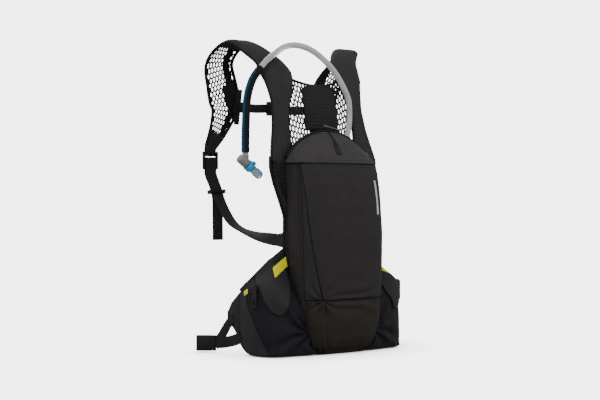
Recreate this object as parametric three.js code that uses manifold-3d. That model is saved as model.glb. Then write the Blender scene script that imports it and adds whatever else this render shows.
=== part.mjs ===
// Hydration pack: a slim back pack with a drink reservoir, a see-through yoke, padded shoulder straps and
// hip wings. Millimetres, +Z up. +Y is the way the wearer faces, so the harness is on the +Y side and the
// front panel faces -Y. -X is the wearer's left. The origin is the middle of the flat bottom of the bag.
import * as THREE from 'three';
import { mergeVertices } from 'three/addons/utils/BufferGeometryUtils.js';
import Module from 'manifold-3d';

const wasm = await Module();
wasm.setup();

// Driving dimensions ------------------------------------------------------------------------------------
const GAP = 0.4; // clearance between neighbouring pieces
const CLEAR = 60; // how far a cutting tool runs past what it cuts
const ORIGIN_SETBACK = 26; // the back plane of the bag is this far behind the origin, along +Y

const BAG_HALF_WIDTH = 82; // side of the bag at its front edge
const BAG_DEPTH = 62; // back plane to front panel
const BAG_WALL = 3; // padded fabric wall
const PANEL_THICKNESS = 3; // front panels, on the outside of the bag
const SEAM_HEIGHT = 305; // seam between the front panel and the lid
const LOWER_SEAM = 87; // seam between the front panel and the lower panel
const ARCH_RISE = 46; // top of the arched zip over its ends
const ARCH_SPRING = 7; // ends of the arched zip over the front seam
const LID_SETBACK = 18; // the front seam is this far behind the front panel's fullest part

const WAIST_HALF = 78; // back panel at the waist
const SHOULDER_HALF = 105; // back panel at its top
const PAD_THICKNESS = 9; // back panel foam
const SHEET_THICKNESS = 1.2; // frame sheet
const PAD_RISE = 11; // top of the back panel foam over the seam

const NECK_RISE = 130; // lowest point of the neckline over the seam
const YOKE_RISE = 141; // top corners of the yoke over the seam
const YOKE_HALF = 88;
const MESH_THICKNESS = 2;
const STRAP_THICKNESS = 6;

const WING_THICKNESS = 8;
const WING_TOP = 168; // wing top at the back panel
const POCKET_RADIUS = 45; // hip pocket, seen from above
const POCKET_TOP = 108;
const POCKET_WALL = 2.5;

const BELT_WIDTH = 25; // waist belt's joint and buckle
const BELT_UPPER = 14; // width of the belt strap from the wing's upper edge
const BELT_LOWER = 18; // width of the belt strap from its lower edge
const STRAP_WEBBING = 20; // shoulder strap webbing
const STERNUM_WEBBING = 15;
const WEBBING_THICKNESS = 1.4;
const STERNUM_RISE = 99; // chest strap over the seam
const BUCKLE_REACH = 19; // half length of the closed chest buckle

const TUBE_RADIUS = 5; // drink tube
const SLEEVE_RADIUS = 7.5; // insulating sleeve on the drink tube
const PORT_RADIUS = 7;
const PORT_FOOT = [46, -8, SEAM_HEIGHT + 8]; // inner end of the tube's port
const PORT_HEAD = [46, 2.6, SEAM_HEIGHT + 31]; // outer end of the tube's port

const COIL_WIDTH = 2.4; // arched zip's coil, across the zip
const SLIDER_ANGLES = { left: 12, right: 52 }; // zip sliders at rest, in degrees from the arch's top
const PULL_REACH = 24; // length of a zip pull

// Where sizes lead to places ----------------------------------------------------------------------------
const ARCH_RADIUS = (BAG_HALF_WIDTH ** 2 + ARCH_RISE ** 2) / (2 * ARCH_RISE);
const ARCH_APEX = SEAM_HEIGHT + ARCH_SPRING + ARCH_RISE;
const ARCH_CENTRE = ARCH_APEX - ARCH_RADIUS;
const BACK_WALL = BAG_WALL + 1;
const PAD_TOP = SEAM_HEIGHT + PAD_RISE;
const NECK_HEIGHT = SEAM_HEIGHT + NECK_RISE;
const YOKE_TOP = SEAM_HEIGHT + YOKE_RISE;
const STERNUM_HEIGHT = SEAM_HEIGHT + STERNUM_RISE;
const SHEET_Y = GAP;
const PAD_Y = SHEET_Y + SHEET_THICKNESS + GAP;
const YOKE_START = PAD_TOP + 4;

// Materials ---------------------------------------------------------------------------------------------
const finish = (color, roughness, metalness = 0, opacity = 1) => new THREE.MeshStandardMaterial({
  color, roughness, metalness, opacity, transparent: opacity < 1,
});
const ripstop = finish(0x2b282b, 0.8);
const lowerRipstop = finish(0x24211f, 0.8);
const meshFabric = finish(0x1c1b20, 0.95);
const strapFabric = finish(0x37353a, 0.9);
const foamFabric = finish(0x232127, 0.95);
const webbing = finish(0x1e1e20, 0.85);
const acetal = finish(0x1b1b1d, 0.45);
const zipNylon = finish(0x161617, 0.6);
const bladderFilm = finish(0x8fb7cc, 0.25, 0, 0.6);
const tubeClear = finish(0xdadad6, 0.3, 0, 0.6);
const neoprene = finish(0x24272b, 0.95);
const valveGrey = finish(0x8f8c88, 0.5);
const valveBlue = finish(0x3cbef0, 0.4);
const siliconeClear = finish(0xbfe4f2, 0.3, 0, 0.6);
const loopGrey = finish(0x6f6f72, 0.85);

// Solids ------------------------------------------------------------------------------------------------
const upright = () => new THREE.Vector3(0, 0, 1);

const toManifold = (geometry) => {
  const bare = geometry.clone();
  bare.deleteAttribute('normal');
  bare.deleteAttribute('uv');
  const merged = mergeVertices(bare, 1e-4);
  return new wasm.Manifold(new wasm.Mesh({
    numProp: 3,
    vertProperties: Float32Array.from(merged.attributes.position.array),
    triVerts: Uint32Array.from(merged.index.array),
  }));
};

const toGeometry = (solid) => {
  const mesh = solid.getMesh();
  const geometry = new THREE.BufferGeometry();
  geometry.setAttribute('position', new THREE.BufferAttribute(mesh.vertProperties, 3));
  geometry.setIndex(new THREE.BufferAttribute(mesh.triVerts, 1));
  return geometry;
};

// A block between two corners; either corner of an axis may be the larger.
const box = (x0, x1, y0, y1, z0, z1) => {
  const size = [x1 - x0, y1 - y0, z1 - z0].map(Math.abs);
  return new THREE.BoxGeometry(...size).translate((x0 + x1) / 2, (y0 + y1) / 2, (z0 + z1) / 2);
};

const union = (...geometries) => toGeometry(geometries.map(toManifold).reduce((sum, next) => sum.add(next)));

const cut = (geometry, ...tools) => toGeometry(tools.map(toManifold)
  .reduce((rest, tool) => rest.subtract(tool), toManifold(geometry)));

// A block of (columns x rows x layers) cells, each corner moved to place(u, v, w), with u, v, w in 0..1.
const moulded = (columns, rows, layers, place) => {
  const geometry = new THREE.BoxGeometry(1, 1, 1, columns, rows, layers);
  const corner = geometry.attributes.position;
  for (let i = 0; i < corner.count; i += 1) {
    const point = place(corner.getX(i) + 0.5, corner.getY(i) + 0.5, corner.getZ(i) + 0.5);
    corner.setXYZ(i, point.x, point.y, point.z);
  }
  geometry.deleteAttribute('normal');
  geometry.deleteAttribute('uv');
  return mergeVertices(geometry, 1e-4);
};

const mirrored = (geometry) => {
  const copy = geometry.clone().scale(-1, 1, 1);
  const order = Array.from(copy.index.array);
  for (let i = 0; i < order.length; i += 3) [order[i + 1], order[i + 2]] = [order[i + 2], order[i + 1]];
  copy.setIndex(order);
  return copy;
};

const smooth = (points) => {
  const places = points.map((p) => new THREE.Vector3(...p));
  return new THREE.CatmullRomCurve3(places, false, 'centripetal');
};

// A flat strap along hand-chosen points. width(t) is its width and side(t) the direction of that width.
const ribbon = (points, { width, thickness, steps, side, columns = 1 }) => {
  const path = smooth(points);
  return moulded(columns, 1, steps, (u, v, w) => {
    const along = path.getTangentAt(w);
    const across = side(w).clone().addScaledVector(along, -side(w).dot(along)).normalize();
    const out = along.clone().cross(across);
    return path.getPointAt(w)
      .addScaledVector(across, (u - 0.5) * width(w))
      .addScaledVector(out, (v - 0.5) * thickness);
  });
};

const TUBE_SIDES = 10;
const circle = (radius) => new THREE.Shape(Array.from({ length: TUBE_SIDES }, (_, i) => {
  const angle = (2 * Math.PI * i) / TUBE_SIDES;
  return new THREE.Vector2(radius * Math.cos(angle), radius * Math.sin(angle));
}));

const tubeAlong = (path, radius, steps, bore = 0) => {
  const section = circle(radius);
  if (bore) section.holes.push(new THREE.Path(circle(bore).getPoints()));
  return new THREE.ExtrudeGeometry(section, { steps, extrudePath: path, bevelEnabled: false });
};

const turned = (profile, sides = 16) => new THREE.LatheGeometry(
  profile.map(([r, y]) => new THREE.Vector2(r, y)), sides);

// Turns a shape made along +Y so that it points from one place to another.
const aimed = (geometry, from, to) => {
  const a = new THREE.Vector3(...from);
  const direction = new THREE.Vector3(...to).sub(a).normalize();
  const turn = new THREE.Quaternion().setFromUnitVectors(new THREE.Vector3(0, 1, 0), direction);
  return geometry.applyQuaternion(turn).translate(a.x, a.y, a.z);
};

// A value read off a list of [key, value] pairs, straight between them.
const level = (pairs, key) => {
  const next = pairs.findIndex(([k]) => k >= key);
  if (next === 0) return pairs[0][1];
  if (next < 0) return pairs[pairs.length - 1][1];
  const [k0, v0] = pairs[next - 1];
  const [k1, v1] = pairs[next];
  return v0 + ((v1 - v0) * (key - k0)) / (k1 - k0);
};

// The assembly ------------------------------------------------------------------------------------------
const pack = new THREE.Group();
const harness = new THREE.Group();
harness.position.y = ORIGIN_SETBACK;
pack.add(harness);

const add = (name, geometry, material) => {
  const mesh = new THREE.Mesh(geometry, material);
  mesh.name = name;
  harness.add(mesh);
};

const bothSides = (name, geometry, material) => {
  add(`${name}_left`, geometry, material);
  add(`${name}_right`, mirrored(geometry), material);
};

// Bag ---------------------------------------------------------------------------------------------------
// Depth of the bag at a height: a rounded bottom, a full front, and a lid that slopes back to the arch.
const LID_DEPTH = BAG_DEPTH - LID_SETBACK;
const depthAt = (z) => level([
  [0, BAG_DEPTH - 16], [24, BAG_DEPTH - 5], [LOWER_SEAM, BAG_DEPTH], [LOWER_SEAM + 100, BAG_DEPTH],
  [SEAM_HEIGHT - 36, BAG_DEPTH - 8], [SEAM_HEIGHT, LID_DEPTH], [ARCH_APEX, BACK_WALL + 4],
], z);
const frontHalfAt = (z) => level([
  [0, BAG_HALF_WIDTH - 38], [14, BAG_HALF_WIDTH - 22], [50, BAG_HALF_WIDTH - 8],
  [LOWER_SEAM, BAG_HALF_WIDTH - 2], [SEAM_HEIGHT, BAG_HALF_WIDTH],
], z);
const backHalfAt = (z) => level([
  [0, WAIST_HALF - 30], [14, WAIST_HALF - 12], [50, WAIST_HALF - 3], [LOWER_SEAM + 90, WAIST_HALF - 2],
  [SEAM_HEIGHT, BAG_HALF_WIDTH],
], z);

// The bag's block with its faces moved in: side, back, front and floor are insets.
const bagBlock = ({ side = 0, back = 0, front = 0, floor = 0 }) => {
  const heights = [14, 24, 50, LOWER_SEAM, LOWER_SEAM + 100, SEAM_HEIGHT - 36, SEAM_HEIGHT];
  const inside = [floor, ...heights.filter((z) => z > floor && z < ARCH_APEX), ARCH_APEX];
  return moulded(8, 3, inside.length - 1, (u, v, w) => {
    const z = inside[Math.round(w * (inside.length - 1))];
    const across = 2 * u - 1;
    const forward = 1 - v;
    const corner = forward > 0.99 ? 1 - 0.1 * Math.abs(across) ** 6 : 1;
    const half = THREE.MathUtils.lerp(backHalfAt(z), frontHalfAt(z), forward) * corner - side;
    const crown = 1 - 0.1 * across ** 2;
    const depth = (depthAt(z) - front) * THREE.MathUtils.lerp(1, crown, forward);
    return new THREE.Vector3(across * half, THREE.MathUtils.lerp(-back, -depth, forward), z);
  });
};

// The arched top, as a prism through the bag, with its faces moved in.
const archPrism = (inset) => {
  const radius = ARCH_RADIUS - inset;
  const half = BAG_HALF_WIDTH - inset;
  const spring = Math.asin(half / radius);
  const springZ = ARCH_CENTRE + radius * Math.cos(spring);
  const outline = new THREE.Shape();
  outline.moveTo(-half - CLEAR, -CLEAR);
  outline.lineTo(half + CLEAR, -CLEAR);
  outline.lineTo(half + CLEAR, springZ);
  outline.absarc(0, ARCH_CENTRE, radius, Math.PI / 2 - spring, Math.PI / 2 + spring, false);
  outline.lineTo(-half - CLEAR, springZ);
  outline.closePath();
  const depth = BAG_DEPTH + 2 * CLEAR;
  return new THREE.ExtrudeGeometry(outline, { depth, bevelEnabled: false, curveSegments: 16 })
    .rotateX(Math.PI / 2).translate(0, CLEAR, 0);
};

const archedBlock = (insets, archInset) => toManifold(bagBlock(insets))
  .intersect(toManifold(archPrism(archInset)));

const addBag = () => {
  const skin = PANEL_THICKNESS + GAP;
  const outer = archedBlock({}, 0);
  const shellOuter = archedBlock({ front: skin }, 0);
  const hollow = { side: BAG_WALL, back: BACK_WALL, front: skin + BAG_WALL, floor: BAG_WALL };
  const cavity = archedBlock(hollow, BAG_WALL);
  const wide = BAG_HALF_WIDTH + CLEAR;
  const front = -BAG_DEPTH - CLEAR;
  const top = ARCH_APEX + CLEAR;
  const aboveSeam = toManifold(box(-wide, wide, front, -BACK_WALL - GAP, SEAM_HEIGHT, top));
  const lidZone = toManifold(box(-wide, wide, front, -BACK_WALL - 2 * GAP, SEAM_HEIGHT + GAP, top));
  const lidCavity = archedBlock({ side: BAG_WALL, back: 0, front: BAG_WALL }, BAG_WALL);
  const drill = new THREE.CylinderGeometry(PORT_RADIUS + GAP, PORT_RADIUS + GAP, CLEAR, 16);
  const portHole = toManifold(aimed(drill, PORT_FOOT, PORT_HEAD));
  add('main_shell', toGeometry(shellOuter.subtract(cavity).subtract(aboveSeam).subtract(portHole)), ripstop);
  add('top_lid', toGeometry(outer.intersect(lidZone).subtract(lidCavity)), ripstop);
  const panelHalf = BAG_HALF_WIDTH - 8;
  const frontSkin = outer.subtract(archedBlock({ front: PANEL_THICKNESS }, 0));
  const slice = (half, low, high) => toGeometry(frontSkin
    .intersect(toManifold(box(-half, half, front, -BAG_DEPTH / 2, low, high))));
  add('front_panel', slice(panelHalf, LOWER_SEAM + GAP, SEAM_HEIGHT - GAP), ripstop);
  add('lower_panel', slice(panelHalf - 12, 16, LOWER_SEAM), lowerRipstop);
  // A webbing loop for a light, on the middle of the lid.
  const loopZ = SEAM_HEIGHT + 22;
  const loopY = -depthAt(loopZ);
  const slope = Math.atan2(LID_DEPTH - BACK_WALL - 4, ARCH_APEX - SEAM_HEIGHT);
  const strip = union(
    box(-5, 5, -3.4, -2, -11, 11),
    box(-5, 5, -2.4, 0, -11, -8),
    box(-5, 5, -2.4, 0, 8, 11),
  );
  add('light_loop', strip.rotateX(-slope).translate(0, loopY - GAP, loopZ), loopGrey);
};

// Arched zip: coil on the back wall's rim, two sliders that run round it, and their pulls.
const arcBar = (inner, outer, reach, y0, y1, segments) => moulded(segments, 1, 1, (u, v, w) => {
  const angle = THREE.MathUtils.degToRad(THREE.MathUtils.lerp(-reach, reach, u));
  const radius = THREE.MathUtils.lerp(inner, outer, w);
  const z = ARCH_CENTRE + radius * Math.cos(angle);
  return new THREE.Vector3(radius * Math.sin(angle), THREE.MathUtils.lerp(y0, y1, v), z);
});

const addMainZip = () => {
  const coilIn = ARCH_RADIUS + GAP;
  const coilOut = coilIn + COIL_WIDTH;
  add('main_zip_coil', arcBar(coilIn, coilOut, 57, -BACK_WALL, 1, 30), zipNylon);
  for (const [side, degrees] of Object.entries(SLIDER_ANGLES)) {
    const crownIn = coilOut + GAP;
    const body = box(-6, 6, -BACK_WALL, 2, crownIn, crownIn + 1.6);
    const post = cut(box(-3, 3, -2.8, -1.4, crownIn + 1.2, crownIn + 4.8),
      box(-1.5, 1.5, -5, 3, crownIn + 2, crownIn + 4));
    const turn = THREE.MathUtils.degToRad(degrees);
    const place = (geometry) => geometry.rotateY(turn).translate(0, 0, ARCH_CENTRE);
    add(`main_zip_slider_${side}`, place(union(body, post)), zipNylon);
    // The pull is a cord loop through the bridge, lying along the zip.
    const way = side === 'left' ? -1 : 1;
    const reach = way * PULL_REACH;
    const arm = (y) => box(-way, reach + way, y, y + 1.2, crownIn + 2.3, crownIn + 3.7);
    const pin = box(-0.7, 0.7, -4.4, 0.2, crownIn + 2.4, crownIn + 3.6);
    const tip = box(reach - 3, reach + 3, -4.4, 0.2, crownIn + 1.9, crownIn + 3.9);
    add(`main_zip_pull_${side}`, place(union(arm(-4.4), arm(-1), pin, tip)), loopGrey);
  }
};

// Back panel and yoke -----------------------------------------------------------------------------------
const backOutline = [
  [0, WAIST_HALF - 12], [40, WAIST_HALF], [LOWER_SEAM + 133, WAIST_HALF], [LOWER_SEAM + 155, WAIST_HALF + 8],
  [SEAM_HEIGHT - 30, SHOULDER_HALF - 6], [SEAM_HEIGHT - 8, SHOULDER_HALF], [PAD_TOP, SHOULDER_HALF],
];
const plateBehind = (inset, low, high, y0, y1) => moulded(1, 1, 12, (u, v, w) => {
  const z = THREE.MathUtils.lerp(low, high, w);
  return new THREE.Vector3((2 * u - 1) * (level(backOutline, z) - inset), THREE.MathUtils.lerp(y0, y1, v), z);
});

// The yoke leans back towards the shoulders and wraps round them.
const yokeY = (x, z) => {
  const up = THREE.MathUtils.clamp((z - YOKE_START) / 70, 0, 1);
  const lean = level([[YOKE_START, 6.5], [SEAM_HEIGHT + 86, 12], [NECK_HEIGHT, 22], [YOKE_TOP, 28]], z);
  return lean + 0.0013 * up * x * x;
};

const addBack = () => {
  add('frame_sheet', plateBehind(8, 12, PAD_TOP - 8, SHEET_Y, SHEET_Y + SHEET_THICKNESS), acetal);
  add('back_pad', plateBehind(0, 0, PAD_TOP, PAD_Y, PAD_Y + PAD_THICKNESS), foamFabric);
  const meshBack = STRAP_THICKNESS / 2 + GAP + 1;
  const sheet = moulded(12, 1, 6, (u, v, w) => {
    const z = THREE.MathUtils.lerp(PAD_TOP + GAP + 2, YOKE_TOP, w);
    const x = (2 * u - 1) * YOKE_HALF;
    return new THREE.Vector3(x, yokeY(x, z) + meshBack + v * MESH_THICKNESS, z);
  });
  const neckline = new THREE.Shape();
  neckline.moveTo(-60, YOKE_TOP + 20);
  neckline.lineTo(-52, YOKE_TOP + 2);
  neckline.quadraticCurveTo(0, 2 * NECK_HEIGHT - YOKE_TOP - 2, 52, YOKE_TOP + 2);
  neckline.lineTo(60, YOKE_TOP + 20);
  neckline.closePath();
  const scoop = new THREE.ExtrudeGeometry(neckline, { depth: 160, bevelEnabled: false, curveSegments: 8 })
    .rotateX(Math.PI / 2).translate(0, 120, 0);
  add('yoke_mesh', cut(sheet, scoop), meshFabric);
  // Padded panel over the spine, on the outside of the mesh.
  add('spine_panel', moulded(3, 1, 5, (u, v, w) => {
    const z = THREE.MathUtils.lerp(ARCH_APEX + 1, NECK_HEIGHT - 2, w);
    const x = (2 * u - 1) * 32;
    return new THREE.Vector3(x, yokeY(x, z) + meshBack - GAP - (1 - v) * 4, z);
  }), foamFabric);
};

// Shoulder straps, left side drawn; x is negative there ------------------------------------------------
const onYoke = (x, z) => [x, yokeY(x, z), z];
const strapCentre = [
  onYoke(-84, YOKE_START), onYoke(-80, SEAM_HEIGHT + 52), onYoke(-77, SEAM_HEIGHT + 86),
  onYoke(-73, SEAM_HEIGHT + 126),
  [-73, 38, SEAM_HEIGHT + 150], [-84, 60, SEAM_HEIGHT + 180], [-113, 96, SEAM_HEIGHT + 203],
  [-122, 137, SEAM_HEIGHT + 172], [-108, 151, SEAM_HEIGHT + 134], [-97, 158, SEAM_HEIGHT + 100],
  [-103, 163, SEAM_HEIGHT + 70], [-115, 166, SEAM_HEIGHT + 42], [-122, 168, SEAM_HEIGHT + 28.5],
];
const strapWidths = [
  [0, 42], [0.1, 32], [0.18, 30], [0.31, 58], [0.4, 50], [0.5, 48], [0.6, 50], [0.7, 56], [0.8, 62],
  [0.9, 40], [1, 22],
];
const strapSide = (t) => new THREE.Vector3(
  1, -0.2 * Math.min(t / 0.15, 1) * THREE.MathUtils.clamp(1 - (t - 0.25) * 8, 0, 1), 0);
const LOCK = new THREE.Vector3(-122, 165, SEAM_HEIGHT + 8); // centre of the left ladder lock
const KEEPER_Z = SEAM_HEIGHT - 45;

const RAIL_REACH = 30; // half length of the chest strap's rail
const SLIDER_X = -77;
const RAIL_Y = 158 - STRAP_THICKNESS / 2 - 6.6;
const RAIL_LEAN = 0.18; // the rail leans with the strap: radians from upright, its top towards the bag
const onRail = (geometry) => geometry.translate(0, -RAIL_Y, -STERNUM_HEIGHT).rotateX(RAIL_LEAN)
  .translate(0, RAIL_Y, STERNUM_HEIGHT);

const addStraps = () => {
  bothSides('strap_pad', ribbon(strapCentre, {
    width: (t) => level(strapWidths, t),
    thickness: STRAP_THICKNESS,
    steps: 30,
    columns: 2,
    side: strapSide,
  }), strapFabric);
  // Webbing rail that the chest strap slides on, beside the strap's inner edge.
  const flat = WEBBING_THICKNESS / 2;
  const ends = [STERNUM_HEIGHT - RAIL_REACH, STERNUM_HEIGHT + RAIL_REACH];
  const rail = box(SLIDER_X - 5, SLIDER_X + 5, RAIL_Y - flat, RAIL_Y + flat, ...ends);
  bothSides('strap_rail', onRail(rail), webbing);
};

const addLadderLocks = () => {
  const { x, y, z } = LOCK;
  const frame = box(x - 14, x + 14, y - 3, y + 3, z - 15, z + 15);
  const window = box(x - 11, x + 11, y - 5, y + 5, z - 11, z + 11);
  const middle = box(x - 12, x + 12, y - 1.2, y + 1.2, z - 1, z + 3);
  const relief = [-1, 1].map((s) => box(x - 11, x + 11, y + s * 1.5, y + s * 5, z - 20, z - 10));
  bothSides('ladder_lock', union(cut(frame, window, ...relief), middle), acetal);
  // One webbing: up from the bag's side, over the lock's middle bar and down again as the loose tail.
  const half = 3.1;
  bothSides('strap_webbing', ribbon([
    [-WAIST_HALF - 2, 6, 181], [-WAIST_HALF - 6, 26, 182], [-94, 78, 190], [-104, 118, 205], [-108, 143, 230],
    [-112, 154, KEEPER_Z - 8], [-115, 158, KEEPER_Z + 8], [x, y - half, z - 22], [x, y - half, z - 12],
    [x, y - half, z - 4],
    [x, y - half + 0.5, z + 4.4], [x, y, z + 6.6], [x, y + half - 0.5, z + 4.4], [x, y + half, z - 4],
    [x, y + half, z - 12], [x + 1, y + half, z - 24], [-115, 162.4, KEEPER_Z + 8],
    [-112, 159.6, KEEPER_Z - 8],
    [-110, 161, KEEPER_Z - 40], [-110, 160, KEEPER_Z - 82],
  ], {
    width: () => STRAP_WEBBING,
    thickness: WEBBING_THICKNESS,
    steps: 72,
    side: (t) => new THREE.Vector3(Math.min(1, t / 0.25), 0, Math.max(0, 1 - t / 0.25)),
  }), webbing);
  const keeper = cut(box(-15, 15, -6.2, 6.2, -3, 3), box(-11.5, 11.5, -4.6, 4.6, -5, 5));
  bothSides('webbing_keeper', keeper.rotateX(-0.25).translate(-113.5, 158.6, KEEPER_Z), acetal);
};

// Chest strap: a slider on each rail, webbing, and a side-release buckle in the middle.
const addChestStrap = () => {
  const z = STERNUM_HEIGHT;
  const y = RAIL_Y;
  const slider = cut(
    box(SLIDER_X - 8, SLIDER_X + 8, y - 4, y + 2.6, z - 9, z + 9),
    box(SLIDER_X - 6, SLIDER_X + 6, y - 1.2, y + 1.2, z - 12, z + 12),
  );
  bothSides('chest_slider', onRail(slider), acetal);
  const webY = y - 2;
  const start = SLIDER_X + 8 + GAP;
  const strip = (x0, x1) => ribbon([[x0, webY, z], [(x0 + x1) / 2, webY, z - 1.2], [x1, webY, z]], {
    width: () => STERNUM_WEBBING, thickness: WEBBING_THICKNESS, steps: 8, side: upright,
  });
  add('chest_webbing_left', strip(start, -BUCKLE_REACH - GAP), webbing);
  // On the right the prong half slides along its webbing, which lies flat against its back.
  const behind = 3.2 + GAP + WEBBING_THICKNESS / 2;
  add('chest_webbing_right', mirrored(strip(start, -9).translate(0, behind, 0)), webbing);
  // Female half on the wearer's left: a flat box with an open mouth. Male half on the right: two prongs.
  const socket = cut(
    box(-BUCKLE_REACH, 6, webY - 4, webY + 4, z - 12, z + 12),
    box(-9, 8, webY - 2.4, webY + 2.4, z - 10, z + 10),
  );
  add('chest_buckle_socket', socket, acetal);
  const prong = (s) => box(-7, 8, webY - 1.8, webY + 1.8, z + s * 6.4, z + s * 9.4);
  const head = box(6 + GAP, BUCKLE_REACH, webY - 3.2, webY + 3.2, z - 10, z + 10);
  const guide = box(-8, 8, webY - 1.5, webY + 1.5, z - 1.5, z + 1.5);
  add('chest_buckle_prongs', union(head, guide, prong(1), prong(-1)), acetal);
};

// Hip wings, left side drawn ----------------------------------------------------------------------------
const POCKET_BEND = 0.72; // share of the pocket wall that is bowed; the rest runs straight to the wing's tip
const POCKET_SWELL = 3;
const BELT_TURN = THREE.MathUtils.degToRad(142); // way the buckle points, seen from above
const POCKET_CENTRE = new THREE.Vector2(-BAG_HALF_WIDTH - 16, 4);
const WING_LENGTH_SPLIT = 44; // seam between the wing and its tip, along +Y
const outerX = POCKET_CENTRE.x - POCKET_RADIUS;
const wingX = outerX + POCKET_WALL + GAP + WING_THICKNESS / 2; // middle of the wing beside its pocket's end
const BELT_MEET = new THREE.Vector3(outerX - 17, 88, 14); // where the two belt straps meet
const wingPath = smooth([
  [-WAIST_HALF - GAP - 0.2, PAD_Y + PAD_THICKNESS / 2, 0], [POCKET_CENTRE.x - 4, PAD_Y + 3, 0],
  [wingX + 8, 16, 0], [wingX + GAP, 32, 0], [wingX, WING_LENGTH_SPLIT, 0],
]);
const wingTopAt = (y) => level([[7, WING_TOP], [20, 132], [WING_LENGTH_SPLIT, 100], [80, 74]], y);
const wingLowAt = (y) => level([[0, 0], [20, 4], [WING_LENGTH_SPLIT, 20], [80, 50]], y);

const pocketAt = (t) => {
  const bow = THREE.MathUtils.degToRad(285 - 105 * Math.min(t / POCKET_BEND, 1));
  const inward = new THREE.Vector2(-Math.cos(bow), -Math.sin(bow));
  const point = POCKET_CENTRE.clone().addScaledVector(inward, -POCKET_RADIUS);
  if (t > POCKET_BEND) point.y += ((t - POCKET_BEND) / (1 - POCKET_BEND)) * 29;
  return { point, inward };
};

const addWings = () => {
  bothSides('wing_pad', moulded(1, 16, 4, (u, v, w) => {
    const along = wingPath.getTangentAt(v);
    const centre = wingPath.getPointAt(v);
    const out = new THREE.Vector3(-along.y, along.x, 0);
    centre.addScaledVector(out, -(u - 0.5) * WING_THICKNESS);
    const fold = level([[0, WING_TOP], [0.35, 150], [0.7, 122], [1, 100]], v);
    centre.z = THREE.MathUtils.lerp(wingLowAt(centre.y), fold, w);
    return centre;
  }), strapFabric);
  // Tip of the wing, past a seam: it carries the belt webbing.
  const tipStart = WING_LENGTH_SPLIT + GAP;
  bothSides('wing_tip', moulded(1, 4, 3, (u, v, w) => {
    const y = THREE.MathUtils.lerp(tipStart, 80, v);
    const x = wingX - 2 * v + (u - 0.5) * (WING_THICKNESS - 2);
    const round = v > 0.9 ? 8 : 0;
    const z = THREE.MathUtils.lerp(wingLowAt(y) + round / 2, wingTopAt(y) - round, w);
    return new THREE.Vector3(x, y, z);
  }), strapFabric);
  // Pocket: a bowed wall outside the wing, open at the top, with a sloping flap over its mouth.
  bothSides('hip_pocket', moulded(1, 18, 3, (u, v, w) => {
    const { point, inward } = pocketAt(v);
    const high = level([[0, POCKET_TOP], [POCKET_BEND, POCKET_TOP], [1, POCKET_TOP - 16]], v);
    const low = level([[0, 0], [0.75, 0], [1, 16]], v);
    point.addScaledVector(inward, u * POCKET_WALL - POCKET_SWELL * Math.sin(Math.PI * w));
    return new THREE.Vector3(point.x, point.y, THREE.MathUtils.lerp(low, high, w));
  }), meshFabric);
  bothSides('pocket_flap', moulded(8, 8, 1, (u, v, w) => {
    const along = THREE.MathUtils.lerp(0.06, 0.9, v);
    const { point, inward } = pocketAt(along * POCKET_BEND + 0.1);
    point.addScaledVector(inward, POCKET_WALL + GAP + 1);
    const wing = wingPath.getPointAt(THREE.MathUtils.lerp(0.18, 0.86, v));
    const tangent = wingPath.getTangentAt(THREE.MathUtils.lerp(0.18, 0.86, v));
    wing.addScaledVector(new THREE.Vector3(tangent.y, -tangent.x, 0), -(WING_THICKNESS / 2 + GAP + 0.6));
    const top = level([[0, 150], [0.35, 128], [0.7, 114], [1, 100]], v);
    const x = THREE.MathUtils.lerp(point.x, wing.x, u);
    const y = THREE.MathUtils.lerp(point.y, wing.y, u);
    return new THREE.Vector3(x, y, THREE.MathUtils.lerp(POCKET_TOP - 6, top, u) + (w - 0.5) * 1.6);
  }), strapFabric);
  // Zip slider on the pocket's rim, with its pull.
  const rim = POCKET_RADIUS + GAP + 0.6;
  const at = THREE.MathUtils.degToRad(196);
  const onRim = (geometry) => geometry.rotateZ(at).translate(POCKET_CENTRE.x, POCKET_CENTRE.y, 0);
  bothSides('pocket_slider', onRim(box(rim, rim + 3, -4, 4, POCKET_TOP - 5, POCKET_TOP + 4)), acetal);
  const ring = cut(box(rim + 3 + GAP, rim + 5.4, -4, 4, POCKET_TOP - 30, POCKET_TOP + 2),
    box(rim, rim + 9, -2, 2, POCKET_TOP - 27, POCKET_TOP - 18));
  bothSides('pocket_pull', onRim(ring), webbing);
};

const addBelt = () => {
  // Two straps leave each wing's tip and meet at the belt buckle's joint.
  const x = wingX - WING_THICKNESS / 2 - 3 * GAP - WEBBING_THICKNESS / 2;
  const meet = BELT_MEET.toArray();
  const near = [BELT_MEET.x + 2, BELT_MEET.y - 2, BELT_MEET.z]; // just inside the joint
  const upper = ribbon([[x, 60, 56], [x - 3, 70, 45], [x - 9, 79, 27], near], {
    width: () => BELT_UPPER, thickness: WEBBING_THICKNESS, steps: 8, side: upright,
  });
  const lower = ribbon([[x, 37, 26], [x - 3, 54, 20], [x - 9, 77, 15], near], {
    width: () => BELT_LOWER, thickness: WEBBING_THICKNESS, steps: 8, side: upright,
  });
  const joint = new THREE.CylinderGeometry(3, 3, BELT_WIDTH, 12).rotateX(Math.PI / 2).translate(...meet);
  bothSides('belt_webbing', union(upper, lower, joint), webbing);
  const swung = (geometry) => geometry.rotateZ(BELT_TURN).translate(...meet);
  const half = BELT_WIDTH / 2;
  const start = 3 + GAP;
  // Socket half on the wearer's left, prong half on the right; both hang open.
  const socket = cut(
    box(start, start + 26, -5, 5, -half, half),
    box(start + 8, start + 30, -3, 3, -half + 2.5, half - 2.5),
  );
  const head = box(start, start + 9, -4.6, 4.6, -half, half);
  const prong = (s) => box(start + 8, start + 26, -2.4, 2.4, s * (half - 3.7), s * (half - 7.1));
  const guide = box(start + 8, start + 22, -2, 2, -1.5, 1.5);
  add('belt_buckle_socket', swung(socket), acetal);
  add('belt_buckle_prongs', mirrored(swung(union(head, prong(1), prong(-1), guide))), acetal);
};

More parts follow.
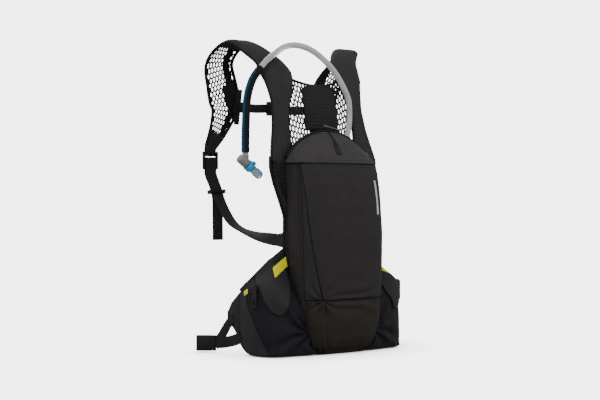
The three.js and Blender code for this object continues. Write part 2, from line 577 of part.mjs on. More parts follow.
// Reservoir, inside the bag -------------------------------------------------------------------------------
const BLADDER_FULL = 18; // thickness of the filled reservoir
const addReservoir = () => {
  const front = -(BACK_WALL + GAP + BLADDER_FULL + 3);
  const half = WAIST_HALF - BAG_WALL - 14;
  const low = 22;
  const high = SEAM_HEIGHT - 24;
  add('reservoir_divider', box(-half, half, front - 1.2, front, low + 52, high - 50), meshFabric);
  // A film bag that is fuller at the foot and flat where it is rolled into its closure.
  add('reservoir_bladder', moulded(4, 2, 6, (u, v, w) => {
    const z = THREE.MathUtils.lerp(low, high, w);
    const width = half * Math.min(1, 0.8 + w);
    const across = 2 * u - 1;
    const full = level([[0, 6], [0.15, BLADDER_FULL], [0.5, BLADDER_FULL], [0.9, 9], [1, 3]], w);
    const y = -BACK_WALL - GAP - 0.6 - v * full * (1 - 0.55 * across ** 2);
    return new THREE.Vector3(across * -width, y, z);
  }), bladderFilm);
  add('reservoir_closure', cut(
    box(-half, half, -BACK_WALL - 9, -BACK_WALL - 1, high + GAP, high + 11),
    box(-half + 3, half + 5, -BACK_WALL - 6.4, -BACK_WALL - 3.4, high - 2, high + 8),
  ), valveBlue);
  add('reservoir_hanger', union(
    box(-9, 9, -BACK_WALL - 3.4, -BACK_WALL - 2, high + 12, high + 34),
    box(-9, 9, -BACK_WALL - 3.4, -BACK_WALL - GAP, high + 31, high + 34),
  ), webbing);
  const outlet = [22, -BACK_WALL - BLADDER_FULL - 1.6, low + 26];
  add('reservoir_outlet', aimed(turned([[0, 0], [11, 0], [11, 3], [6.4, 4], [6.4, 9], [0, 9]], 14),
    outlet, [outlet[0], outlet[1] - 1, outlet[2]]), valveGrey);
  // Quick-release coupling on the outlet, its button, and the tube inside the bag.
  const couplingY = outlet[1] - 9 - GAP - 5;
  const couplingX = outlet[0];
  const block = box(
    couplingX - 6, couplingX + 6, couplingY - 5, couplingY + 5, outlet[2] - 7, outlet[2] + 7,
  );
  const spigot = new THREE.CylinderGeometry(TUBE_RADIUS, TUBE_RADIUS, 12, 12).rotateX(Math.PI / 2)
    .translate(couplingX, couplingY, outlet[2] + 12);
  const bore = new THREE.CylinderGeometry(3.2, 3.2, 8, 12).rotateZ(Math.PI / 2);
  bore.translate(couplingX + 6, couplingY, outlet[2]);
  add('tube_coupling', cut(union(block, spigot), bore), valveGrey);
  add('coupling_button', new THREE.CylinderGeometry(2.8, 2.8, 4, 12).rotateZ(Math.PI / 2)
    .translate(couplingX + 6, couplingY, outlet[2]), valveBlue);
  const portFoot = new THREE.Vector3(...PORT_FOOT);
  const up = new THREE.Vector3(...PORT_HEAD).sub(portFoot).normalize();
  const end = portFoot.clone().addScaledVector(up, -GAP);
  const before = portFoot.clone().addScaledVector(up, -12);
  add('inner_tube', tubeAlong(smooth([
    [couplingX, couplingY, outlet[2] + 18 + GAP], [couplingX, couplingY, outlet[2] + 34],
    [couplingX + 4, couplingY + 3, low + 120], [couplingX + 12, couplingY + 4, low + 190],
    [PORT_FOOT[0] - 2, couplingY + 11, high - 4], before.toArray(), end.toArray(),
  ]), TUBE_RADIUS, 24), tubeClear);
};

// Drink tube: a rubber port through the back wall, the free tube, its sleeve and the bite valve ---------
const tubePoints = [
  [46.4, 7, 345.5], [49, 8.6, 353], [54, 9.6, 367], [56.5, 11, 390], [55, 12, 414], [46.5, 14.5, 434],
  [36, 24, 459], [20, 33, 480], [-3, 39, 496], [-29, 42, 502], [-52, 44, 498], [-75, 44, 483],
  [-93, 38, 471], [-109, 32, 457], [-121, 33, 441], [-127, 35, 424], [-130, 37, 405], [-131, 39, 364],
  [-131, 40, 340],
];
const TUBE_END = [-131, 40, 320];
const SLEEVE_START = 0.68; // the sleeve covers this share of the free tube...
const SLEEVE_END = 0.995; // ...to this one
const addDrinkTube = () => {
  const foot = new THREE.Vector3(...PORT_FOOT);
  const head = new THREE.Vector3(...PORT_HEAD);
  const reach = foot.distanceTo(head);
  const profile = [[3.6, 0], [PORT_RADIUS, 0], [PORT_RADIUS, reach], [3.6, reach], [3.6, 0]];
  add('tube_port', aimed(turned(profile, 16), PORT_FOOT, PORT_HEAD), neoprene);
  const up = head.clone().sub(foot).normalize();
  const start = head.clone().addScaledVector(up, GAP).toArray();
  const path = smooth([start, ...tubePoints, TUBE_END]);
  add('drink_tube', tubeAlong(path, TUBE_RADIUS, 48), tubeClear);
  const sleeveAt = (i) => path.getPointAt(THREE.MathUtils.lerp(SLEEVE_START, SLEEVE_END, i / 15)).toArray();
  const sleevePath = smooth(Array.from({ length: 16 }, (_, i) => sleeveAt(i)));
  add('tube_sleeve', tubeAlong(sleevePath, SLEEVE_RADIUS, 20, TUBE_RADIUS + 0.8), neoprene);
  // Bite valve: elbow below the tube, shut-off collar, and soft mouthpiece, on one slanting axis.
  const [x, y, z] = TUBE_END;
  const back = [x - 11, y, z - 6];
  const tip = [x + 32, y, z - 38];
  const elbow = aimed(turned([[0, 0], [7, 0], [8, 1.5], [8, 16], [6, 18], [0, 18]]), back, tip);
  const stub = new THREE.CylinderGeometry(5.6, 5.6, 11, 14).rotateX(Math.PI / 2)
    .translate(x, y, z - GAP - 5.5);
  add('valve_elbow', union(elbow, stub), valveGrey);
  const axis = new THREE.Vector3(...tip).sub(new THREE.Vector3(...back)).normalize();
  const along = (d) => new THREE.Vector3(...back).addScaledVector(axis, d).toArray();
  const collar = union(turned([[0, 0], [8.6, 0], [9.2, 1.5], [9.2, 8], [8, 10], [0, 10]]),
    box(7, 12.4, 2, 8, -2, 2));
  add('valve_collar', aimed(collar, along(18 + GAP), tip), valveBlue);
  add('mouthpiece', aimed(turned([[0, 0], [7, 0], [6.4, 5], [7.6, 11], [7.2, 19], [5, 21.5], [0, 21.5]]),
    along(28 + 2 * GAP), tip), siliconeClear);
};

addBag();
addMainZip();
addBack();
addStraps();
addLadderLocks();
addChestStrap();
addWings();
addBelt();
addReservoir();
addDrinkTube();

export default pack;
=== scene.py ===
"""The looks of a hydration pack: its fabrics, foams, webbing, moulded fittings and drink tube.

Metres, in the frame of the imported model: +Z up, +Y the way the wearer faces, -X the wearer's left.
"""
import logging
import math
from collections.abc import Callable, Sequence
from dataclasses import dataclass
from enum import Enum

import bmesh
import bpy
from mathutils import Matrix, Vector, noise


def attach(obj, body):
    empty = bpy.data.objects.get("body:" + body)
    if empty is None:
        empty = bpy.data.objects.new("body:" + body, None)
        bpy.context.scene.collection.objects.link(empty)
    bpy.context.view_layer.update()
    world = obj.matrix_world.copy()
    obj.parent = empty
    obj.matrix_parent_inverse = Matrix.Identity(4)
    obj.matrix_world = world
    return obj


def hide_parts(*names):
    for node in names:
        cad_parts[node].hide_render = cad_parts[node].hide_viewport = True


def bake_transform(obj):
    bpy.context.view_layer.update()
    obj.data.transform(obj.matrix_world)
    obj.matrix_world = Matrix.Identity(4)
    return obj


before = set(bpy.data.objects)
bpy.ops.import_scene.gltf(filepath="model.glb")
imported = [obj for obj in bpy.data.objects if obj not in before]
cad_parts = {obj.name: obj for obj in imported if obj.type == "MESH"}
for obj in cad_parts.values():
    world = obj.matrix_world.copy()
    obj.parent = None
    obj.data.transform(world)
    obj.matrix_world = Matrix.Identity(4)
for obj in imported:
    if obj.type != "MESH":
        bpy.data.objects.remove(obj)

LOG = logging.getLogger("hydration_pack")
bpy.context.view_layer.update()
SETBACK = 26.0  # the bag's back plane is this many millimetres ahead of the origin
ROOT = "pack_body"
WELD = 1e-6  # points closer than this, in metres, become one
STITCH_STEP, STITCH_LENGTH, STITCH_RADIUS = 0.0034, 0.0023, 0.00035
Surface = Callable[[float, float], Vector]


def mm(x: float, y: float, z: float) -> Vector:
    """A place given in millimetres from the bag's back plane, in metres from the origin."""
    return Vector((x, y + SETBACK, z)) / 1000


def level(pairs: Sequence[tuple[float, float]], key: float) -> float:
    """Reads a value off a list of (key, value) pairs, straight between them.

    Args:
        pairs: The pairs, with rising keys.
        key: Where to read.

    Returns:
        The value there, held at the ends.
    """
    if key <= pairs[0][0]:
        return pairs[0][1]
    for (k0, v0), (k1, v1) in zip(pairs, pairs[1:]):
        if key <= k1:
            return v0 + (v1 - v0) * (key - k0) / (k1 - k0)
    return pairs[-1][1]


def clamp(value: float) -> float:
    """The value held between 0 and 1."""
    return min(1.0, max(0.0, value))


def ridge(distance: float, width: float) -> float:
    """A soft bump of height 1 at distance 0 that fades over the width."""
    return math.exp(-((distance / width) ** 2))


class Side(Enum):
    """A side of the wearer."""

    LEFT = -1
    RIGHT = 1

    @property
    def word(self) -> str:
        """The side's name as pieces carry it."""
        return self.name.lower()

    def place(self, point: Vector) -> Vector:
        """A point drawn on the left, on this side."""
        return Vector((-point.x * self.value, point.y, point.z))


# Finishes --------------------------------------------------
class Texture(Enum):
    """How a finish's surface is made."""

    WEAVE = "weave"
    GRAIN = "grain"


def linear(red: int, green: int, blue: int) -> tuple[float, float, float, float]:
    """A screen colour as the shader's linear colour."""
    parts = [c / 255 for c in (red, green, blue)]
    return (*[c / 12.92 if c <= 0.04045 else ((c + 0.055) / 1.055) ** 2.4 for c in parts], 1.0)


@dataclass(frozen=True)
class Finish:
    """One material: its colour, its gloss, and the relief of its surface."""

    name: str
    slot: str
    colour: tuple[int, int, int]
    roughness: float
    texture: Texture
    pitch: float = 0.0008
    relief: float = 0.25
    sheen: float = 0.0
    see_through: float = 0.0
    variation: float = 0.22
    specular: float = 0.5

    def material(self) -> bpy.types.Material:
        """The Blender material, made on first use.

        Returns:
            The material with this finish's name.
        """
        found = bpy.data.materials.get(self.name + "_finish")
        if found:
            return found
        made = bpy.data.materials.new(self.name + "_finish")
        made.use_nodes = True
        nodes = made.node_tree.nodes
        link = made.node_tree.links.new
        shader = nodes["Principled BSDF"]
        shader.inputs["Roughness"].default_value = self.roughness
        shader.inputs["Sheen Weight"].default_value = self.sheen
        shader.inputs["Specular IOR Level"].default_value = self.specular
        shader.inputs["Transmission Weight"].default_value = self.see_through
        place = nodes.new("ShaderNodeTexCoord").outputs["Object"]
        cloud = nodes.new("ShaderNodeTexNoise")
        cloud.inputs["Scale"].default_value = 60.0
        cloud.inputs["Detail"].default_value = 5.0
        link(place, cloud.inputs["Vector"])
        tint = nodes.new("ShaderNodeValToRGB")
        base = Vector(linear(*self.colour)[:3])
        tint.color_ramp.elements[0].position = 0.3
        tint.color_ramp.elements[1].position = 0.7
        tint.color_ramp.elements[0].color = (*(base * (1 - self.variation)), 1.0)
        tint.color_ramp.elements[1].color = (*(base * (1 + self.variation)), 1.0)
        link(cloud.outputs["Fac"], tint.inputs["Fac"])
        link(tint.outputs["Color"], shader.inputs["Base Color"])
        bump = nodes.new("ShaderNodeBump")
        bump.inputs["Strength"].default_value = self.relief
        bump.inputs["Distance"].default_value = self.pitch * 0.4
        link(self._relief(nodes, link, place), bump.inputs["Height"])
        link(bump.outputs["Normal"], shader.inputs["Normal"])
        return made

    def _relief(
        self, nodes: bpy.types.Nodes, link: Callable, place: bpy.types.NodeSocket
    ) -> bpy.types.NodeSocket:
        """The height that the surface's relief is made of.

        Args:
            nodes: The material's nodes.
            link: The call that joins two sockets.
            place: The socket with the object coordinates.

        Returns:
            The socket with the height.
        """
        if self.texture is Texture.GRAIN:
            grain = nodes.new("ShaderNodeTexNoise")
            grain.inputs["Scale"].default_value = 1.0 / self.pitch
            grain.inputs["Detail"].default_value = 3.0
            link(place, grain.inputs["Vector"])
            return grain.outputs["Fac"]
        heights = []
        for direction in ("X", "Z"):
            wave = nodes.new("ShaderNodeTexWave")
            wave.bands_direction = direction
            wave.inputs["Scale"].default_value = 1.0 / (self.pitch * 6.283)
            wave.inputs["Distortion"].default_value = 0.6
            link(place, wave.inputs["Vector"])
            heights.append(wave.outputs["Fac"])
        both = nodes.new("ShaderNodeMath")
        both.operation = "MAXIMUM"
        link(heights[0], both.inputs[0])
        link(heights[1], both.inputs[1])
        return both.outputs["Value"]


def cloth(name: str, slot: str, colour: tuple[int, int, int], pitch: float, relief: float) -> Finish:
    """A matt woven finish with a little sheen."""
    return Finish(name, slot, colour, 0.68, Texture.WEAVE, pitch, relief, 0.02, variation=0.09, specular=0.26)


RIPSTOP = cloth("ripstop_fabric", "shell_fabric", (46, 42, 44), 0.0012, 0.35)
# Painted highlight: the lid is the same shell fabric as the ripstop, painted lighter because its upper
# sloping face catches the light.
LID_CLOTH_PAINTED_HIGHLIGHT = cloth("lid_fabric", "shell_fabric", (64, 60, 63), 0.0012, 0.35)
LOWER_CLOTH = cloth("lower_fabric", "lower_fabric", (42, 37, 32), 0.001, 0.25)
STRAP_CLOTH = cloth("strap_fabric", "strap_fabric", (48, 46, 49), 0.0014, 0.5)
WING_CLOTH = cloth("wing_fabric", "strap_fabric", (44, 43, 47), 0.0014, 0.5)
NET = cloth("net_yarn", "mesh_fabric", (32, 30, 34), 0.0006, 0.4)
POCKET_NET = cloth("pocket_knit", "mesh_fabric", (25, 25, 32), 0.0016, 0.7)
FOAM_CLOTH = cloth("back_knit", "back_foam", (34, 32, 36), 0.003, 0.8)
WEBBING = cloth("webbing", "webbing", (38, 38, 40), 0.0012, 0.8)
BINDING = cloth("binding_tape", "webbing", (26, 25, 28), 0.0009, 0.5)
GREY_TAPE = cloth("grey_tape", "grey_webbing", (120, 119, 122), 0.0009, 0.5)
DARK_TAPE = cloth("dark_tape", "grey_webbing", (44, 43, 46), 0.0009, 0.5)
THREAD = cloth("thread", "webbing", (66, 64, 67), 0.0006, 0.3)
YELLOW_TAPE = cloth("yellow_tape", "grey_webbing", (255, 246, 16), 0.0009, 0.4)
PALE_MARK = Finish("pale_mark", "grey_webbing", (222, 222, 224), 0.5, Texture.GRAIN, 0.001, 0.05)
ACETAL = Finish(
    "black_acetal", "black_plastic", (30, 30, 32), 0.45, Texture.GRAIN, 0.0007, 0.12, specular=0.3
)
ZIP = Finish("zip_nylon", "zip_nylon", (26, 26, 27), 0.55, Texture.GRAIN, 0.0009, 0.4, specular=0.3)
FILM = Finish("bladder_film", "bladder_film", (150, 195, 212), 0.2, Texture.GRAIN, 0.004, 0.2, 0.0, 0.6)
TUBE = Finish(
    "tube_plastic", "clear_tube", (236, 236, 233), 0.16, Texture.GRAIN, 0.002, 0.04, 0.0, 0.45, 0.03
)
NEOPRENE = Finish(
    "neoprene", "neoprene", (30, 32, 37), 0.88, Texture.GRAIN, 0.0006, 0.4, 0.02, specular=0.15
)
TEAL = cloth("sleeve_edge", "neoprene", (12, 76, 102), 0.0008, 0.3)
GREY_VALVE = Finish(
    "grey_fitting", "valve_grey", (150, 145, 141), 0.45, Texture.GRAIN, 0.0008, 0.1, variation=0.06
)
BLUE_VALVE = Finish(
    "blue_fitting", "valve_blue", (46, 176, 236), 0.35, Texture.GRAIN, 0.0008, 0.1, variation=0.06
)
SILICONE = Finish(
    "soft_silicone", "soft_mouthpiece", (188, 228, 244), 0.25, Texture.GRAIN, 0.002, 0.05, 0.0, 0.55, 0.05
)


# Making and dressing ---------------------------------------
class Route:
    """A smooth line through given points, read by its share of the whole length."""

    def __init__(self, points: Sequence[Vector], steps: int = 24) -> None:
        """Samples the line.

        Args:
            points: What it passes through.
            steps: Samples between two points.
        """
        first = points[0] * 2 - points[1]
        last = points[-1] * 2 - points[-2]
        knots = [first, *points, last]
        self.samples = [
            self._between(knots[i : i + 4], step / steps)
            for i in range(len(points) - 1)
            for step in range(steps)
        ] + [points[-1].copy()]
        self.reach = [0.0]
        for a, b in zip(self.samples, self.samples[1:]):
            self.reach.append(self.reach[-1] + (b - a).length)

    @staticmethod
    def _between(knots: Sequence[Vector], share: float) -> Vector:
        """A point on the centripetal curve between the middle two of four knots."""
        times = [0.0]
        for a, b in zip(knots, knots[1:]):
            times.append(times[-1] + math.sqrt((b - a).length))
        now = times[1] + (times[2] - times[1]) * share
        line = list(knots)
        for span in (1, 2):
            line = [
                a.lerp(b, (now - times[i]) / (times[i + span] - times[i]))
                for i, (a, b) in enumerate(zip(line, line[1:]))
            ]
        return line[0].lerp(line[1], (now - times[1]) / (times[2] - times[1]))

    @property
    def length(self) -> float:
        """The whole length."""
        return self.reach[-1]

    def at(self, share: float) -> Vector:
        """The point at a share of the length."""
        goal = clamp(share) * self.length
        for i, far in enumerate(self.reach[1:]):
            if goal <= far:
                near = self.reach[i]
                return self.samples[i].lerp(self.samples[i + 1], (goal - near) / max(far - near, 1e-9))
        return self.samples[-1].copy()

    def along(self, share: float) -> Vector:
        """The direction of travel at a share of the length."""
        return (self.at(share + 0.004) - self.at(share - 0.004)).normalized()

    def points(self, count: int, start: float = 0.0, end: float = 1.0) -> list[Vector]:
        """Evenly spaced points from one share to another."""
        return [self.at(start + (end - start) * i / (count - 1)) for i in range(count)]


def as_object(name: str, bm: bmesh.types.BMesh) -> bpy.types.Object:
    """Turns a bmesh into a smooth-shaded object in the scene.

    Args:
        name: The object's name.
        bm: The mesh, which is freed.

    Returns:
        The object.
    """
    mesh = bpy.data.meshes.new(name)
    bm.to_mesh(mesh)
    bm.free()
    mesh.shade_smooth()
    made = bpy.data.objects.new(name, mesh)
    bpy.context.scene.collection.objects.link(made)
    return made


def applied(piece: bpy.types.Object) -> bpy.types.Object:
    """Bakes a piece's modifiers into its mesh."""
    evaluated = piece.evaluated_get(bpy.context.evaluated_depsgraph_get())
    mesh = bpy.data.meshes.new_from_object(evaluated)
    piece.modifiers.clear()
    piece.data = mesh
    return piece


def dress(piece: bpy.types.Object, finish: Finish, body: str, *nodes: str) -> bpy.types.Object:
    """Gives a piece its finish and the body it moves with.

    Args:
        piece: The piece.
        finish: Its finish.
        body: The body.
        nodes: The solids that it stands for.

    Returns:
        The piece.
    """
    piece.data.materials.clear()
    piece.data.materials.append(finish.material())
    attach(piece, body)
    if nodes:
        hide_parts(*nodes)
    LOG.info("%s rides on %s", piece.name, body)
    return piece


def laid(name: str, surface: Surface, cells: tuple[int, int], thickness: float) -> bpy.types.Object:
    """A sheet laid on a surface and given its thickness.

    Args:
        name: The piece's name.
        surface: The place of each (u, v), both from 0 to 1.
        cells: Grid cells along u and v.
        thickness: In metres, half to each side.

    Returns:
        The piece.
    """
    bm = bmesh.new()
    bmesh.ops.create_grid(bm, x_segments=cells[0], y_segments=cells[1], size=0.5, calc_uvs=True)
    for vert in bm.verts:
        vert.co = surface(vert.co.x + 0.5, vert.co.y + 0.5)
    made = as_object(name, bm)
    wall = made.modifiers.new("wall", "SOLIDIFY")
    wall.thickness = thickness
    wall.offset = 0.0
    soften = made.modifiers.new("soften", "SUBSURF")
    soften.levels = soften.render_levels = 1
    return applied(made)


def swept(name: str, points: Sequence[Vector], radius: float, sides: int = 6) -> bpy.types.Object:
    """A round cord, piping or tube through points, with closed ends.

    Args:
        name: The piece's name.
        points: What its middle passes through.
        radius: In metres.
        sides: Quarter-turn smoothness of its section.

    Returns:
        The piece.
    """
    curve = bpy.data.curves.new(name, "CURVE")
    curve.dimensions = "3D"
    curve.bevel_depth = radius
    curve.bevel_resolution = sides
    curve.use_fill_caps = True
    spline = curve.splines.new("POLY")
    spline.points.add(len(points) - 1)
    for knot, point in zip(spline.points, points):
        knot.co = (*point, 1.0)
    guide = bpy.data.objects.new(name + "_guide", curve)
    bpy.context.scene.collection.objects.link(guide)
    mesh = bpy.data.meshes.new_from_object(guide.evaluated_get(bpy.context.evaluated_depsgraph_get()))
    bpy.data.objects.remove(guide)
    bm = bmesh.new()
    bm.from_mesh(mesh)
    bmesh.ops.remove_doubles(bm, verts=bm.verts, dist=WELD)
    bmesh.ops.recalc_face_normals(bm, faces=bm.faces)
    return as_object(name, bm)


def stitched(name: str, points: Sequence[Vector], finish: Finish, body: str) -> bpy.types.Object:
    """A run of raised stitches along a line.

    Args:
        name: The piece's name.
        points: The line.
        finish: The thread's finish.
        body: The body it moves with.

    Returns:
        The piece.
    """
    line = Route(points, 4)
    count = max(2, round(line.length / STITCH_STEP))
    bm = bmesh.new()
    for i in range(count):
        share = (i + 0.5) / count
        turn = line.along(share).to_track_quat("Z", "Y").to_matrix().to_4x4()
        turn.translation = line.at(share)
        bmesh.ops.create_cone(
            bm, cap_ends=True, segments=6, radius1=STITCH_RADIUS, radius2=STITCH_RADIUS,
            depth=STITCH_LENGTH, matrix=turn,
        )
    return dress(as_object(name, bm), finish, body)


def merged_copy(node: str) -> bmesh.types.BMesh:
    """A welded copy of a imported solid's mesh, with its flat faces joined up."""
    bm = bmesh.new()
    bm.from_mesh(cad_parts[node].data)
    bmesh.ops.remove_doubles(bm, verts=bm.verts, dist=WELD)
    bmesh.ops.dissolve_limit(bm, angle_limit=math.radians(1), verts=bm.verts, edges=bm.edges)
    return bm


def moulding(node: str, finish: Finish, body: str, edge: float = 0.0005) -> bpy.types.Object:
    """A hard fitting: the solid's own shape, with its edges rounded over.

    Args:
        node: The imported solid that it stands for.
        finish: Its finish.
        body: The body it moves with.
        edge: Radius of the rounded edges, in metres.

    Returns:
        The piece.
    """
    made = as_object(node + "_moulding", merged_copy(node))
    round_over = made.modifiers.new("round_over", "BEVEL")
    round_over.width = edge
    round_over.segments = 3
    round_over.angle_limit = math.radians(28)
    applied(made)
    made.data.set_sharp_from_angle(angle=math.radians(50))
    return dress(made, finish, body, node)


@dataclass(frozen=True)
class Puff:
    """How far a soft solid swells under its cloth simulation."""

    voxel: float = 0.005
    pressure: float = 4.0
    cap: float = 0.003
    frames: int = 16


def puffed(node: str, finish: Finish, body: str, puff: Puff = Puff()) -> bpy.types.Object:
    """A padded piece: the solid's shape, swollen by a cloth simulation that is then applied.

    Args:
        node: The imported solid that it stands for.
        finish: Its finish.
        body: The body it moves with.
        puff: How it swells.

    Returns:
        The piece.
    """
    made = as_object(node + "_padding", merged_copy(node))
    remesh = made.modifiers.new("remesh", "REMESH")
    remesh.mode = "VOXEL"
    remesh.voxel_size = puff.voxel
    applied(made)
    _swell(made, puff)
    soften = made.modifiers.new("soften", "SUBSURF")
    soften.levels = soften.render_levels = 1
    applied(made)
    made.data.shade_smooth()
    dress(made, finish, body, node)
    return made


def _swell(piece: bpy.types.Object, puff: Puff) -> None:
    """Runs the cloth simulation on a piece and keeps its result, capped.

    Args:
        piece: The remeshed piece.
        puff: How it swells.
    """
    scene = bpy.context.scene
    rest = [vert.co.copy() for vert in piece.data.vertices]
    settings = piece.modifiers.new("cloth", "CLOTH").settings
    settings.use_pressure = True
    settings.uniform_pressure_force = puff.pressure
    settings.effector_weights.gravity = 0.0
    for now in range(1, puff.frames + 1):
        scene.frame_set(now)
    applied(piece)
    scene.frame_set(1)
    for vert, start in zip(piece.data.vertices, rest):
        move = vert.co - start
        if move.length > puff.cap:
            vert.co = start + move.normalized() * puff.cap


@dataclass(frozen=True)
class Net:
    """An open knitted net of six-sided holes."""

    cell: tuple[float, float] = (0.006, 0.0082)
    strand: float = 0.0024
    thickness: float = 0.0013
    peak: float = 0.2

    def on(self, name: str, surface: Surface, size: tuple[float, float]) -> bpy.types.Object:
        """Knits the net over a surface.

        Args:
            name: The piece's name.
            surface: The place of each (u, v), both from 0 to 1.
            size: The surface's extent along u and v, in metres.

        Returns:
            The piece.
        """
        halves = 2 * max(2, round(size[0] / self.cell[0]))
        rows = max(2, round(size[1] / self.cell[1]))
        bm = bmesh.new()
        bmesh.ops.create_grid(bm, x_segments=halves, y_segments=rows, size=0.5)
        column = {vert: round((vert.co.x + 0.5) * halves) for vert in bm.verts}
        row = {vert: round((vert.co.y + 0.5) * rows) for vert in bm.verts}
        spare = [
            edge
            for edge in bm.edges
            if len(edge.link_faces) == 2
            and column[edge.verts[0]] == column[edge.verts[1]]
            and (column[edge.verts[0]] + min(row[v] for v in edge.verts)) % 2
        ]
        for vert in bm.verts:
            if 0 < row[vert] < rows:
                way = 1 if (column[vert] + row[vert]) % 2 == 0 else -1
                vert.co.y += way * self.peak / rows
        bmesh.ops.dissolve_edges(bm, edges=spare, use_verts=False)
        for vert in bm.verts:
            vert.co = Vector(((vert.co.x + 0.5) * size[0], (vert.co.y + 0.5) * size[1], 0))
        holes = list(bm.faces)
        bmesh.ops.inset_individual(bm, faces=holes, thickness=self.strand / 2, use_even_offset=True)
        bmesh.ops.delete(bm, geom=holes, context="FACES")
        for vert in bm.verts:
            vert.co = surface(clamp(vert.co.x / size[0]), clamp(vert.co.y / size[1]))
        made = as_object(name, bm)
        wall = made.modifiers.new("wall", "SOLIDIFY")
        wall.thickness = self.thickness
        wall.offset = 0.0
        return applied(made)


# Studio ----------------------------------------------------
@dataclass(frozen=True)
class Studio:
    """A pale floor, soft lights, and the camera."""

    target: tuple[float, float, float] = (-0.0349, 0.0505, 0.246)
    distance: float = 2.0
    azimuth: float = -35.0
    lens: float = 73.17
    white: float = 4.8

    def build(self) -> None:
        """Sets the camera, the floor and the lights."""
        turn = math.radians(self.azimuth)
        back = Vector((math.sin(turn), -math.cos(turn), 0.0))
        lens = bpy.data.cameras.new("camera")
        lens.lens = self.lens
        lens.sensor_width = 36.0
        camera = bpy.data.objects.new("camera", lens)
        camera.location = Vector(self.target) + back * self.distance
        camera.rotation_euler = (-back).to_track_quat("-Z", "Y").to_euler()
        bpy.context.scene.collection.objects.link(camera)
        bpy.context.scene.camera = camera
        bm = bmesh.new()
        bmesh.ops.create_grid(bm, x_segments=1, y_segments=1, size=6.0)
        floor = as_object("floor", bm)
        floor.location.z = -0.001
        floor.data.materials.append(self._floor_paint())
        self._light("key", (-1.7, -1.2, 2.0), 1.4, 22)
        self._light("fill", (1.5, -1.7, 1.0), 1.6, 9)
        self._light("rim", (0.4, 1.8, 1.7), 1.2, 14)
        world = bpy.data.worlds.new("studio")
        world.use_nodes = True
        nodes, link = world.node_tree.nodes, world.node_tree.links.new
        glow = nodes["Background"]
        glow.inputs["Color"].default_value = (1, 1, 1, 1)
        link(self._seen(nodes, link, 0.55), glow.inputs["Strength"])
        bpy.context.scene.world = world

    def _seen(self, nodes: bpy.types.Nodes, link: Callable, lighting: float) -> bpy.types.NodeSocket:
        """The brightness of the studio's white: full to the eye, and gentle as a source of light.

        Args:
            nodes: The nodes of the world or material.
            link: The call that joins two sockets.
            lighting: Its brightness as a light.

        Returns:
            The socket with the brightness.
        """
        rays = nodes.new("ShaderNodeLightPath")
        brightness = nodes.new("ShaderNodeMapRange")
        brightness.inputs["To Min"].default_value = lighting
        brightness.inputs["To Max"].default_value = self.white
        link(rays.outputs["Is Camera Ray"], brightness.inputs["Value"])
        return brightness.outputs["Result"]

    def _floor_paint(self) -> bpy.types.Material:
        """The floor's white finish, which glows, with a painted contact shadow: ambient occlusion darkens its
        glow only where the pack stands close to it.
        """
        paint = bpy.data.materials.new("floor_paint")
        paint.use_nodes = True
        nodes, link = paint.node_tree.nodes, paint.node_tree.links.new
        # Painted contact shadow: ambient occlusion darkens the floor's emission colour near the pack.
        near = nodes.new("ShaderNodeAmbientOcclusion")
        near.inputs["Distance"].default_value = 0.09
        near.samples = 16
        glow = nodes.new("ShaderNodeEmission")
        link(near.outputs["Color"], glow.inputs["Color"])
        link(self._seen(nodes, link, 0.35), glow.inputs["Strength"])
        link(glow.outputs["Emission"], nodes["Material Output"].inputs["Surface"])
        return paint

    def _light(self, name: str, place: tuple[float, float, float], size: float, watts: float) -> None:
        """Adds a soft square light that looks at the pack."""
        data = bpy.data.lights.new(name, "AREA")
        data.size = size
        data.energy = watts
        lamp = bpy.data.objects.new(name, data)
        lamp.location = place
        lamp.rotation_euler = (Vector(self.target) - Vector(place)).to_track_quat("-Z", "Y").to_euler()
        bpy.context.scene.collection.objects.link(lamp)


# Drink line ------------------------------------------------
@dataclass(frozen=True)
class DrinkLine:
    """The free tube from the bag's port, its sleeve, and the bite valve on its end."""

    radius: float = 0.005
    sleeve_radius: float = 0.0066
    sleeve: tuple[float, float] = (0.68, 0.995)
    stripe_radius: float = 0.0022
    stripe_aside: tuple[float, float, float] = (-0.0052, -0.0020, 0.0)

    @staticmethod
    def route() -> Route:
        """The tube's middle, out of the port, over the left shoulder and down to the valve."""
        foot = mm(46, -8, 313)
        head = mm(46, 2.6, 336)
        start = head + (head - foot).normalized() * 0.0004
        points = [
            (46.4, 7, 345.5), (49, 8.6, 353), (54, 9.6, 367), (56.5, 11, 390), (55, 12, 414),
            (46.5, 14.5, 434), (36, 24, 459), (20, 33, 480), (-3, 39, 496), (-29, 42, 502),
            (-52, 44, 498), (-75, 44, 483), (-93, 38, 471), (-109, 32, 457), (-121, 33, 441),
            (-127, 35, 424), (-130, 37, 405), (-131, 39, 364), (-131, 40, 340), (-131, 40, 320),
        ]
        return Route([start, *[mm(*point) for point in points]])

    def build(self) -> None:
        route = self.route()
        centre = route.points(160)
        tube = dress(swept("drink_hose", centre, self.radius), TUBE, ROOT, "drink_tube")
        cover = route.points(70, *self.sleeve)
        sleeve = dress(swept("hose_sleeve", cover, self.sleeve_radius), NEOPRENE, ROOT, "tube_sleeve")
        beside = [point + Vector(self.stripe_aside) for point in cover]
        stripe = dress(swept("sleeve_stripe", beside, self.stripe_radius, 4), TEAL, ROOT)
        elbow = moulding("valve_elbow", GREY_VALVE, "valve_elbow", 0.0008)
        collar = moulding("valve_collar", BLUE_VALVE, "valve_collar", 0.0006)
        bite = moulding("mouthpiece", SILICONE, "valve_collar", 0.001)
        moulding("tube_port", NEOPRENE, ROOT)
        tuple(centre[0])
        route.length


